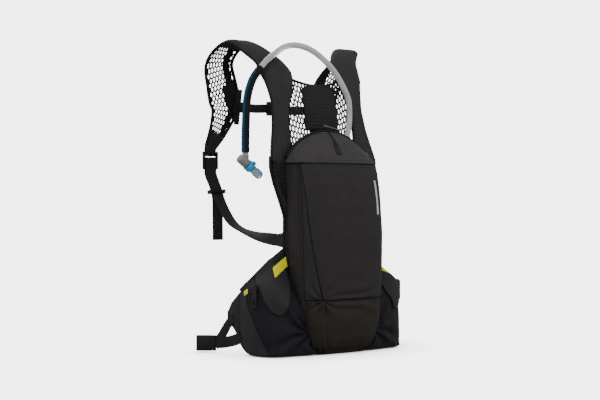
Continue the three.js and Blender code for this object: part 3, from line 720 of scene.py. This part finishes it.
# Bag -------------------------------------------------------
@dataclass(frozen=True)
class Bag:
    """The bag: its shell, the panels on its front, the domed lid, and the arched zip. Millimetres."""

    half_width: float = 82.0
    depth: float = 62.0
    seam: float = 305.0
    lower_seam: float = 87.0
    arch_radius: float = 96.087
    arch_centre: float = 261.913
    panel_width: float = 115.0
    front_spread: float = 0.56
    lower_spread: float = 0.5
    back_spread: float = 0.97
    back_skin: float = -1.6

    @property
    def _front_seams(self) -> tuple[float, float]:
        """The front panel's lower and upper seams, in millimetres."""
        return self.lower_seam + 1, self.seam - 2

    def _depth_at(self, z: float) -> float:
        """How far the front stands from the back plane at a height."""
        full = self.depth
        return level(
            [(0, full - 16), (12, full - 9), (24, full - 5), (50, full - 2), (87, full), (187, full),
             (240, full - 4), (269, full - 8), (290, full - 13), (self.seam, full - 18)], z)

    def _half_at(self, z: float, forward: float) -> float:
        """Half the bag's width at a height: forward is 0 at the back and 1 at the front."""
        front = level([(0, 52), (14, 67), (50, 79), (87, 84), (190, 86), (self.seam, self.half_width + 1)], z)
        back = level([(0, 48), (14, 66), (50, 75), (177, 76), (self.seam, self.half_width)], z)
        return back + (front - back) * forward

    def around(self, share: float, z: float, out: float = 0.0) -> Vector:
        """A point on the bag's skin.

        Args:
            share: From the left back edge, 0, round the front to the right back edge, 1.
            z: Height in millimetres.
            out: How far it stands off the skin, in millimetres.

        Returns:
            The place in metres.
        """
        angle = math.pi * (1 - share)
        wide = math.copysign(abs(math.cos(angle)) ** 0.37, math.cos(angle))
        deep = abs(math.sin(angle)) ** 0.52
        x = wide * (self._half_at(z, deep) + out)
        y = -deep * (self._depth_at(z) * (1 - 0.07 * (x / self.half_width) ** 2) + out)
        return mm(x, min(y, -0.2), z)

    def _folds(self, share: float, z: float) -> float:
        """How the loose fabric stands in and out, in millimetres: gusset folds, tucks and slack."""
        edge = abs(share - 0.5)
        gusset = ridge(edge - 0.36, 0.07)
        drift = noise.noise(Vector((share * 5, z / 70, 1.0)))
        run = math.sin(share * 120 + 3.0 * drift) * gusset * (0.5 + 0.5 * clamp((z - 40) / 120))
        corner = ridge(edge - 0.27, 0.05) * ridge(z - 292, 16) * math.sin(share * 210 + z / 9)
        hem = math.sin(share * 64 + 2 * drift) * ridge(z - 10, 16)
        return 1.3 * run + 1.6 * corner + 1.3 * hem + 1.1 * drift

    def _front(self, share: float, z: float, low: float, high: float) -> float:
        """How a sewn panel stands off the shell: full in its middle, pulled in at its seams."""
        tall = clamp((z - low) / (high - low))
        puff = (math.sin(math.pi * share) * math.sin(math.pi * tall)) ** 0.35
        wrinkle = 0.35 * noise.noise(Vector((share * 7, z / 26, 4.0)))
        along = (share - 0.36) * self.panel_width
        corner = (along ** 2 + (z - self.lower_seam) ** 2) ** 0.5
        turn = math.atan2(z - self.lower_seam, along + 0.5)
        gather = 1.9 * math.sin(10 * turn) * math.exp(-corner / 30) * clamp(corner / 9)
        far = ((share * self.panel_width - 46) ** 2 + (z - self.lower_seam - 6) ** 2) ** 0.5
        crumple = 0.9 * math.sin(far / 2.6) * math.exp(-far / 12)
        tuck = 0.5 * math.sin(share * 30 + z / 7) * ridge(z - self.lower_seam, 7)
        hem = 1.2 * math.sin(share * 44 + 2 * noise.noise(Vector((share * 6, 3, 1)))) * ridge(z, 18)
        crease = -1.5 * ridge(share - self._crease(z), 0.016)
        return 0.9 + 3.2 * puff + wrinkle + gather + crumple + tuck + hem + crease * puff

    def _crease(self, z: float) -> float:
        """Where the panel's sewn crease runs at a height, as a share of the panel's width."""
        return 0.03 + 0.34 * clamp((self.seam - z) / (self.seam - self.lower_seam)) ** 1.4

    def _panel(self, name: str, node: str, low: float, high: float, spread: float, finish: Finish) -> None:
        """Makes one of the panels sewn on the front.

        Args:
            name: The piece's name.
            node: The solid that it stands for.
            low: Its lower seam, in millimetres.
            high: Its upper seam, in millimetres.
            spread: Share of the way round that it covers.
            finish: Its fabric.
        """
        def surface(u: float, v: float) -> Vector:
            """The panel's cloth."""
            z = low + (high - low) * v
            share = 0.5 + (u - 0.5) * spread
            return self.around(share, z, self._front(u, z, low, high))

        dress(laid(name, surface, (120, 90), 0.0012), finish, ROOT, node)
        rim = [surface(u / 30, 1.0) for u in range(31)]
        left = [surface(0.0, v / 40) for v in range(41)]
        right = [surface(1.0, 1 - v / 40) for v in range(41)]
        dress(swept(name + "_piping", [*left, *rim, *right], 0.0010, 3), BINDING, ROOT)
        sewn = [surface(0.03 + 0.94 * u / 40, 0.985) for u in range(41)]
        stitched(name + "_stitches", [p + Vector((0, -0.0007, 0)) for p in sewn], BINDING, ROOT)

    def lid_surface(self, u: float, v: float) -> Vector:
        """A point on the domed lid: u runs from left to right, v from the front seam up to the zip."""
        seam = self.around(u, self.seam, 0.6)
        angle = (2 * u - 1) * math.radians(57)
        arch = mm(
            (self.arch_radius - 0.8) * math.sin(angle), -5.0,
            self.arch_centre + (self.arch_radius - 0.8) * math.cos(angle),
        )
        middle = math.sin(math.pi * u)
        dome = 0.0038 * math.sin(math.pi * v) * middle
        tuck = 0.0007 * math.sin(u * 60 + 5 * v) * ridge(v - 0.05, 0.22) * (1 - 0.6 * middle)
        slack = 0.0008 * noise.noise(Vector((u * 6, v * 4, 9.0))) * middle
        return seam.lerp(arch, v ** 0.9) + Vector((0, -0.75, 0.66)) * (dome + tuck + slack)

    def build(self) -> None:
        """Makes the bag's pieces."""
        def skin(u: float, v: float) -> Vector:
            """The shell, round from one back edge to the other."""
            z = self.seam * v
            return self.around(u, z, self._folds(u, z) - 1.4)

        def back(u: float, v: float) -> Vector:
            """The flat back, up to the seam."""
            z = v * self.seam
            return mm((2 * u - 1) * self._half_at(z, 0.0) * self.back_spread, self.back_skin, z)

        def back_arch(u: float, v: float) -> Vector:
            """The flat back, from the seam up to the zip."""
            x = (2 * u - 1) * self.half_width * self.back_spread
            return mm(x, self.back_skin, self.seam + v * (self._arch_height(x) - self.seam))

        def base(u: float, v: float) -> Vector:
            """The flat underside."""
            return mm((2 * u - 1) * 46, -0.5 - v * 45, 0.9)

        dress(laid("bag_shell", skin, (110, 96), 0.0016), RIPSTOP, ROOT, "main_shell")
        dress(laid("bag_back", back, (24, 40), 0.0016), RIPSTOP, ROOT)
        dress(laid("bag_back_arch", back_arch, (40, 8), 0.0016), RIPSTOP, ROOT)
        dress(laid("bag_base", base, (16, 12), 0.0014), LOWER_CLOTH, ROOT)
        self._panel("front_cloth", "front_panel", *self._front_seams, self.front_spread, RIPSTOP)
        self._panel("lower_cloth", "lower_panel", 8, self.lower_seam - 1, self.lower_spread, LOWER_CLOTH)
        # The lid's cloth wears the shell fabric with its painted highlight.
        dress(laid("lid_cloth", self.lid_surface, (90, 30), 0.0014), LID_CLOTH_PAINTED_HIGHLIGHT, "lid", "top_lid")
        rim = [self.lid_surface(u / 60, 0.0) for u in range(61)]
        dress(swept("lid_seam", rim, 0.0010, 3), BINDING, "lid")
        raised = Vector((0, -0.0007, 0.0005))
        for name, v in (("seam", 0.06), ("zip", 0.93)):
            run = [self.lid_surface(0.03 + 0.94 * i / 80, v) + raised for i in range(81)]
            stitched(f"lid_stitches_{name}", run, THREAD, "lid")

        def tab(u: float, v: float) -> Vector:
            """The pull tab on the middle of the lid."""
            half = 0.0013 + 0.0026 * ridge(v, 0.16)
            return self.lid_surface(0.5, 0.46 + 0.52 * v) + Vector(((2 * u - 1) * half, -0.0011, 0.0009))

        dress(laid("lid_tab", tab, (6, 20), 0.0012), BINDING, "lid")
        self._zip()
        self._mark()

    def _arch_height(self, x: float) -> float:
        """The height of the arched zip at a distance from the middle."""
        return self.arch_centre + math.sqrt(max((self.arch_radius - 0.6) ** 2 - x * x, 0))

    def _zip(self) -> None:
        """Makes the zip's teeth, flap and fittings."""
        def flap(u: float, v: float) -> Vector:
            """The rain flap over the zip."""
            angle = (2 * u - 1) * math.radians(56)
            radius = self.arch_radius + 0.9 - 0.8 * v
            return mm(radius * math.sin(angle), -4.2 + 4.6 * v, self.arch_centre + radius * math.cos(angle))

        dress(laid("zip_flap", flap, (60, 3), 0.0007), BINDING, ROOT)
        piping = [flap(u / 80, 0.0) for u in range(81)]
        dress(swept("zip_piping", piping, 0.0015, 4), BINDING, ROOT)
        for side in Side:
            moulding(f"main_zip_slider_{side.word}", ZIP, f"zip_slider_{side.word}", 0.0004)
            moulding(f"main_zip_pull_{side.word}", GREY_TAPE, f"zip_pull_{side.word}", 0.0003)
        moulding("main_zip_coil", ZIP, ROOT, 0.0003)
        moulding("light_loop", WEBBING, "lid", 0.0003)

    def _mark(self) -> None:
        """Makes the plain reflective strip on the front panel, and the line of its sewn crease."""
        low, high = self._front_seams

        def on_panel(u: float, z: float, out: float) -> Vector:
            """A point that stands off the front panel."""
            return self.around(0.5 + (u - 0.5) * self.front_spread, z, self._front(u, z, low, high) + out)

        def strip(u: float, v: float) -> Vector:
            """The reflective strip."""
            return on_panel(0.69 + 0.045 * u, 222 + 56 * v, 0.9)

        dress(laid("reflective_strip", strip, (4, 24), 0.0005), PALE_MARK, ROOT)
        heights = [low + 1 + (high - low - 2) * i / 60 for i in range(61)]
        line = [on_panel(self._crease(z), z, 0.9) for z in heights]
        dress(swept("crease_piping", line, 0.0008, 3), BINDING, ROOT)
        beside = [on_panel(self._crease(z) + 0.022, z, 0.8) for z in heights]
        stitched("crease_stitches", beside, THREAD, ROOT)


# Harness ---------------------------------------------------
def yoke_depth(x: float, z: float) -> float:
    """How far the yoke stands from the back plane, in millimetres."""
    lean = level([(320, 6.5), (391, 12), (435, 22), (446, 28)], z)
    return lean + 0.0013 * clamp((z - 320) / 70) * x * x


@dataclass(frozen=True)
class Back:
    """The back panel, the see-through yoke over it, and the panel along the spine."""

    half: float = 62.0
    foot: float = 319.0

    @staticmethod
    def _neck(x: float) -> float:
        """The neckline's height at a distance from the middle, in millimetres."""
        return 435 + 12 * clamp(abs(x) / 52) ** 2 + 12 * clamp((abs(x) - 44) / 18)

    def _mesh_at(self, u: float, v: float) -> Vector:
        """A point on the yoke's net."""
        x = (2 * u - 1) * self.half
        z = self.foot + (self._neck(x) - self.foot) * v
        return mm(x, yoke_depth(x, z) + 5.4, z)

    @staticmethod
    def _outline(z: float) -> float:
        """Half the back panel's width at a height, in millimetres."""
        return level([(0, 66), (40, 78), (220, 78), (242, 86), (275, 99), (297, 105), (316, 105)], z)

    @staticmethod
    def _channels(pad: bpy.types.Object) -> None:
        """Presses the sewn air channels into the pad's wearer side: two upright, and three swept across."""
        for vert in pad.data.vertices:
            x, y, z = vert.co.x * 1000, vert.co.y * 1000 - SETBACK, vert.co.z * 1000
            if y > 6:
                upright = ridge(abs(x) - 24, 4.5)
                swept_up = [ridge(z - height - 0.35 * abs(x), 4.5) for height in (52, 128, 204)]
                vert.co.y -= 0.0034 * max(upright, *swept_up)

    @staticmethod
    def _spine(u: float, v: float) -> Vector:
        """A point on the spine panel: crowned, with an arched top."""
        across = 2 * u - 1
        x = 31 * across
        z = 360 + (74 - 7 * across ** 4) * v
        crown = 1.6 * (1 - across ** 4) * (1 - (2 * v - 1) ** 6)
        return mm(x, yoke_depth(x, z) + 2.0 - crown, z)

    def build(self) -> None:
        """Makes the back's pieces."""
        net = Net().on("yoke_net", self._mesh_at, (0.124, 0.118))
        dress(net, NET, ROOT, "yoke_mesh")
        edge = [self._mesh_at(u / 30, 1.0) for u in range(31)]
        dress(swept("neckline_binding", edge, 0.0021, 4), BINDING, ROOT)
        spine = laid("spine_pad", self._spine, (36, 44), 0.0036)
        dress(spine, FOAM_CLOTH, ROOT, "spine_panel")
        hem = [self._spine(0, i / 30) for i in range(31)] + [self._spine(i / 40, 1) for i in range(41)]
        hem += [self._spine(1, 1 - i / 30) for i in range(31)]
        dress(swept("spine_hem", hem, 0.0022, 4), BINDING, ROOT)
        self._channels(puffed("back_pad", FOAM_CLOTH, ROOT, Puff(0.005, 4.0, 0.003)))
        for side in Side:
            heights = [1 + 315 * i / 60 for i in range(61)]
            edge = [side.place(mm(-self._outline(z) - 0.4, 6.5, z)) for z in heights]
            dress(swept(f"back_binding_{side.word}", edge, 0.0026, 4), BINDING, ROOT)

            def flange(u: float, v: float) -> Vector:
                """The cloth between the back panel's edge and the bag."""
                z = 1 + 280 * v
                return side.place(mm(-self._outline(z) - 0.4 + 20 * (1 - u), 0.6 + 5.9 * u ** 2, z))

            dress(laid(f"back_flange_{side.word}", flange, (8, 70), 0.0016), RIPSTOP, ROOT)
        moulding("frame_sheet", ACETAL, ROOT, 0.0002)


@dataclass(frozen=True)
class ShoulderStrap:
    """One shoulder strap: a padded back half, a see-through front half in binding, and its fittings."""

    side: Side
    thickness: float = 0.006
    crest: float = 0.575
    net_end: float = 0.95
    foot: float = -0.035
    binding_inset: float = 0.0022

    @staticmethod
    def _route() -> Route:
        """The strap's middle, drawn on the left."""
        yoke = [(-84, 320), (-80, 357), (-77, 391), (-73, 431)]
        over = [
            (-73, 38, 455), (-84, 60, 485), (-113, 96, 508), (-122, 137, 477), (-108, 151, 439),
            (-97, 158, 405), (-103, 163, 375), (-115, 166, 347), (-122, 168, 333.5),
        ]
        return Route([*[mm(x, yoke_depth(x, z), z) for x, z in yoke], *[mm(*p) for p in over]])

    @staticmethod
    def _width(share: float) -> float:
        """The strap's width at a share of its length, in metres."""
        return level([
            (0, 42), (0.1, 32), (0.18, 30), (0.31, 58), (0.4, 50), (0.5, 48), (0.6, 50), (0.7, 56),
            (0.8, 62), (0.9, 40), (1, 22)], share) / 1000

    def _surface(self, start: float, end: float, out: float = 0.0, inset: float = 0.0) -> Surface:
        """The strap's middle surface over part of its length.

        Args:
            start: The first share of the length.
            end: The last share.
            out: How far it stands off the middle, in metres.
            inset: How far its edges are moved in, in metres.

        Returns:
            The surface: u runs across and v along.
        """
        route = self._route()

        def surface(u: float, v: float) -> Vector:
            """The middle surface, with its tilt and its drooping edges."""
            share = start + (end - start) * v
            along = route.along(clamp(share))
            tilt = -0.2 * min(share / 0.15, 1) * clamp(1 - (share - 0.25) * 8)
            across = Vector((1, tilt, 0))
            across = (across - along * across.dot(along)).normalized()
            wide = self._width(share) * (1 - 0.12 * ridge(share - 0.5, 0.07)) - 2 * inset
            droop = 0.006 * ridge(share - 0.47, 0.16) * (2 * u - 1) ** 4
            below = along * min(share, 0) * route.length + along.cross(across) * droop
            point = route.at(share) + below + across * (u - 0.5) * wide + along.cross(across) * out
            return self.side.place(point)

        return surface

    def _edge(self, u: float) -> list[Vector]:
        """Points along one edge of the strap, where its binding runs."""
        surface = self._surface(self.foot, 1.0, 0.0, self.binding_inset)
        return [surface(u, i / 60) for i in range(61)]

    def build(self) -> None:
        """Makes the strap's pieces."""
        word = self.side.word
        whole = self._surface(self.foot, self.crest, 0, 0.001)
        pad = laid(f"shoulder_pad_{word}", whole, (14, 80), self.thickness * 0.8)
        dress(pad, STRAP_CLOTH, ROOT, f"strap_pad_{word}")
        net = Net().on(f"strap_net_{word}", self._surface(self.crest, self.net_end, 0, 0.004), (0.048, 0.17))
        dress(net, NET, ROOT)
        end = laid(f"strap_end_{word}", self._surface(self.net_end - 0.015, 1.0), (10, 16), 0.003)
        dress(end, STRAP_CLOTH, ROOT)
        for name, u in (("outer", 0.0), ("inner", 1.0)):
            dress(swept(f"strap_binding_{name}_{word}", self._edge(u), 0.0026, 4), BINDING, ROOT)
            for face, out in (("front", 0.0027), ("rear", -0.0027)):
                line = self._surface(0.02, self.crest - 0.01, out, 0.007)
                run = [line(u, i / 50) for i in range(51)]
                stitched(f"strap_stitches_{name}_{face}_{word}", run, THREAD, ROOT)
        dress(laid(f"daisy_chain_{word}", self._band(), (4, 44), 0.0014), WEBBING, ROOT)
        dress(laid(f"chest_patch_{word}", self._patch(), (8, 10), 0.0016), STRAP_CLOTH, ROOT)
        self._loop_and_bar()
        for node in (f"strap_webbing_{word}", f"strap_rail_{word}"):
            moulding(node, WEBBING, ROOT, 0.0002)
        moulding(f"ladder_lock_{word}", ACETAL, ROOT, 0.0008)
        moulding(f"webbing_keeper_{word}", ACETAL, f"keeper_{word}", 0.0006)

    def _loop_and_bar(self) -> None:
        """Makes the webbing loop that holds the ladder lock, and the bar in its window."""
        word = self.side.word
        for name, z, radius in (("bar", 316.6, 0.0013), ("crossbar", 322, 0.0022)):
            line = [self.side.place(mm(x, 165, z)) for x in (-133, -122, -111)]
            dress(swept(f"lock_{name}_{word}", line, radius, 4), ACETAL, ROOT)

        def anchor(u: float, v: float) -> Vector:
            """The patch where the lower webbing is sewn to the bag."""
            half = 17 - 6.5 * u
            return self.side.place(mm(-66 - 20 * u, 3 + 10 * u * u, 181.5 + half * (2 * v - 1)))

        dress(laid(f"webbing_anchor_{word}", anchor, (10, 8), 0.0042), STRAP_CLOTH, ROOT)

        def loop(u: float, v: float) -> Vector:
            """The webbing loop round the lock's upper bar."""
            turn = 2 * math.pi * v
            x = -122 + 20 * (u - 0.5)
            return self.side.place(mm(x, 165.6 + 3.1 * math.sin(turn), 331 + 7.5 * math.cos(turn)))

        dress(laid(f"lock_loop_{word}", loop, (4, 20), 0.0013), WEBBING, ROOT)

    def _band(self) -> Surface:
        """The row of webbing loops along the strap's inner edge."""
        whole = self._surface(0.57, 0.95, -0.0022)
        return lambda u, v: whole(0.66 + 0.24 * u, v)

    def _patch(self) -> Surface:
        """The reinforcing patch where the chest strap's rail is sewn on."""
        whole = self._surface(0.745, 0.825, -0.0012, 0.003)
        return lambda u, v: whole(0.52 + 0.48 * u, v)


@dataclass(frozen=True)
class ChestStrap:
    """The chest strap with its two sliders and its side-release buckle."""

    def build(self) -> None:
        """Makes the strap's pieces."""
        for side in Side:
            body = f"chest_{side.word}"
            moulding(f"chest_slider_{side.word}", ACETAL, body, 0.0006)
            moulding(f"chest_webbing_{side.word}", WEBBING, body, 0.0002)
        moulding("chest_buckle_socket", ACETAL, "chest_left", 0.0008)
        moulding("chest_buckle_prongs", ACETAL, "chest_prongs", 0.0006)


# Hips ------------------------------------------------------
@dataclass(frozen=True)
class HipWing:
    """One hip wing: its padding, the one skin that wraps it and its pocket, the flap, and the tabs."""

    side: Side
    radius: float = 46.0
    centre: tuple[float, float] = (-98.0, 4.0)

    @staticmethod
    def _inner(share: float) -> tuple[float, float, float]:
        """The wing's own line in plan and its top height, in millimetres."""
        way = clamp((share - 0.1) / 0.9)
        x = level([(0, -78.6), (0.287, -102), (0.635, -128.1), (0.853, -135.7), (1, -138)], way)
        y = level([(0, 6.5), (0.287, 5), (0.635, 16), (0.853, 32), (1, 44)], way)
        return x, y, level([(0, 168), (0.35, 150), (0.7, 122), (1, 102)], way)

    def _outer(self, share: float, z: float) -> tuple[float, float]:
        """The pocket's outermost line in plan: off the bag's front corner and round to the tip."""
        tucked = level([(0, 0.4), (8, 0.34), (16, 0.27), (40, 0.21), (87, 0.18), (168, 0.12)], z)
        start = Bag().around(tucked, z, -0.6) * 1000
        start_x, start_y = start.x, start.y - SETBACK
        turn = math.radians(265 - 85 * clamp((share - 0.2) / 0.6))
        x = self.centre[0] + self.radius * math.cos(turn)
        y = self.centre[1] + self.radius * math.sin(turn)
        if share < 0.2:
            way = share / 0.2
            bow = 2 * math.sin(math.pi * way)
            return start_x + (x - start_x) * way, start_y + (y - start_y) * way - bow
        return x, y + (33 - self.centre[1]) * clamp((share - 0.8) / 0.2)

    def skin(self, share: float, z: float, out: float = 0.0) -> Vector:
        """A point on the skin, in metres.

        Args:
            share: From the bag, 0, to the tip, 1.
            z: Height in millimetres.
            out: How far it stands off the skin, in millimetres.

        Returns:
            The place, on this wing's side.
        """
        x, y, top = self._inner(share)
        far_x, far_y = self._outer(share, z)
        near = clamp(share / 0.45)
        fall = min(60 + 44 * near * near * (3 - 2 * near), top - 12)
        full = 0.5 * (1 + math.cos(math.pi * clamp((z - fall) / (top - fall))))
        tip = clamp((share - 0.86) / 0.14)
        full *= 1 - 0.85 * tip * tip
        reach = Vector((far_x - x, far_y - y, 0))
        if reach.length > 1e-6:
            aside = reach.normalized() * (self._folds(share, z) * full + out)
        else:
            aside = Vector((-out, 0, 0))
        point = Vector((x, y, z)) + reach * full + aside
        return self.side.place(mm(*point))

    @staticmethod
    def _folds(share: float, z: float) -> float:
        """How the skin's folds stand out, in millimetres: they run out from the bag's lower corner."""
        far = ((share * 150) ** 2 + (z - 34) ** 2) ** 0.5
        turn = math.atan2(z - 34, share * 150 + 4)
        drift = noise.noise(Vector((share * 4, z / 45, 2.0)))
        run = 3.8 * math.sin(10 * turn + 2.5 * drift) * math.exp(-far / 66) * clamp(far / 14)
        hem = 1.1 * math.sin(share * 46 + 3 * drift) * ridge(z - 3, 14)
        under_zip = 2.0 * ridge(z - 107, 10) * clamp((share - 0.15) / 0.1)
        return run + hem + 1.6 * drift - 1.0 - under_zip

    def _wrap(self, u: float, v: float) -> Vector:
        """The whole skin: under the wing, up its outside, and in to its top edge."""
        x, y, top = self._inner(u)
        low = self._bottom(u)
        if v < 0.12:
            outside = self.skin(u, low)
            inside = self.side.place(mm(x, y, low))
            return inside.lerp(outside, v / 0.12)
        return self.skin(u, low + (top - low) * (v - 0.12) / 0.88)

    @staticmethod
    def _bottom(share: float) -> float:
        """The skin's lowest height, which rises towards the tip."""
        return 1.5 + 14 * clamp((share - 0.78) / 0.22) ** 2

    def _tip(self, u: float, v: float) -> Vector:
        """The woven panel over the wing's end, behind a slanted seam."""
        top = self._inner(0.95)[2] - 4
        z = 2.5 + (top - 2.5) * v
        start = 0.46 + 0.42 * clamp(z / 82)
        share = start + (1 - start) * u
        low = self._bottom(share) + 1
        return self.skin(share, max(z, low + 0.02 * z), 1.3)

    def _flap(self, u: float, v: float) -> Vector:
        """The flap over the pocket's opening, with a rounded lower corner."""
        share = 0.13 + 0.54 * u
        top = self._inner(share)[2]
        aside = (share - 0.32) / (0.2 if share < 0.32 else 0.36)
        low = min(66 + 58 * abs(aside) ** 2.2, top - 16)
        return self.skin(share, low + (top + 0.5 - low) * v, 2.2 - 0.8 * v)

    def _patch(self, start: float, end: float, high: float, low: float) -> Surface:
        """A tab sewn on the skin, from one share to another, measured down from the top edge."""
        def surface(u: float, v: float) -> Vector:
            """The tab's cloth."""
            share = start + (end - start) * u
            return self.skin(share, self._inner(share)[2] - low + (low - high) * v, 3.6)

        return surface

    def build(self) -> None:
        """Makes the wing's pieces."""
        word = self.side.word
        wing = f"wing_{word}"
        puffed(f"wing_pad_{word}", WING_CLOTH, wing, Puff(0.004, 3.0, 0.0010))
        puffed(f"wing_tip_{word}", WING_CLOTH, wing, Puff(0.003, 3.0, 0.0010))
        wrap = laid(f"wing_skin_{word}", self._wrap, (96, 80), 0.0012)
        wrap.data.materials.append(POCKET_NET.material())
        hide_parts(f"hip_pocket_{word}")
        self.side.place(mm(-60, 0, 60))
        self.side.place(mm(-100, 0, 60))
        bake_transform(wrap)
        LOG.info("%s bends between %s and %s", wrap.name, ROOT, wing)
        flap = laid(f"pocket_cover_{word}", self._flap, (40, 34), 0.0014)
        dress(flap, STRAP_CLOTH, wing, f"pocket_flap_{word}")
        hem = [self._flap(i / 50, 0.0) for i in range(51)]
        dress(swept(f"cover_hem_{word}", hem, 0.0011, 3), BINDING, wing)
        inside = [self._flap(0.03 + 0.94 * i / 50, 0.06) for i in range(51)]
        stitched(f"cover_stitches_{word}", inside, THREAD, wing)
        dress(laid(f"tip_cover_{word}", self._tip, (40, 36), 0.0012), WING_CLOTH, wing)
        seam = [self._tip(0.0, i / 40) for i in range(41)]
        dress(swept(f"tip_seam_{word}", seam, 0.0010, 3), BINDING, wing)
        beside = [self._tip(0.05, i / 40) for i in range(41)]
        stitched(f"tip_stitches_{word}", beside, THREAD, wing)
        edge = [self._wrap(0.1 + 0.9 * i / 60, 1.0) for i in range(61)]
        dress(swept(f"wing_binding_{word}", edge, 0.0018, 4), BINDING, wing)
        for name, *place in (("wing_tab", 0.03, 0.38, 13, 29), ("zip_tab", 0.86, 0.93, 7, 14)):
            dress(laid(f"{name}_{word}", self._patch(*place), (8, 6), 0.0012), YELLOW_TAPE, wing)
        moulding(f"belt_webbing_{word}", WEBBING, wing, 0.0002)
        moulding(f"pocket_slider_{word}", ZIP, f"pocket_slider_{word}", 0.0004)
        moulding(f"pocket_pull_{word}", DARK_TAPE, f"pocket_pull_{word}", 0.0003)


@dataclass(frozen=True)
class Belt:
    """The two halves of the waist buckle."""

    def build(self) -> None:
        """Makes the buckle halves."""
        moulding("belt_buckle_socket", ACETAL, "belt_socket", 0.0010)
        moulding("belt_buckle_prongs", ACETAL, "belt_prongs", 0.0008)


@dataclass(frozen=True)
class Reservoir:
    """The drink reservoir and its fittings, inside the bag."""

    def build(self) -> None:
        """Makes the reservoir's pieces."""
        for node, finish, edge in (
            ("reservoir_bladder", FILM, 0.0008), ("reservoir_divider", NET, 0.0002),
            ("reservoir_closure", BLUE_VALVE, 0.0005), ("reservoir_hanger", WEBBING, 0.0002),
            ("reservoir_outlet", GREY_VALVE, 0.0005), ("tube_coupling", GREY_VALVE, 0.0005),
            ("inner_tube", TUBE, 0.0003),
        ):
            moulding(node, finish, ROOT, edge)
        moulding("coupling_button", BLUE_VALVE, "button", 0.0004)


def main() -> None:
    """Builds the sub-assemblies in order."""
    logging.basicConfig(level=logging.INFO, format="%(name)s: %(message)s")
    Studio().build()
    DrinkLine().build()
    Bag().build()
    Back().build()
    for side in Side:
        ShoulderStrap(side).build()
        HipWing(side).build()
    ChestStrap().build()
    Belt().build()
    Reservoir().build()


if __name__ == "__main__":
    main()
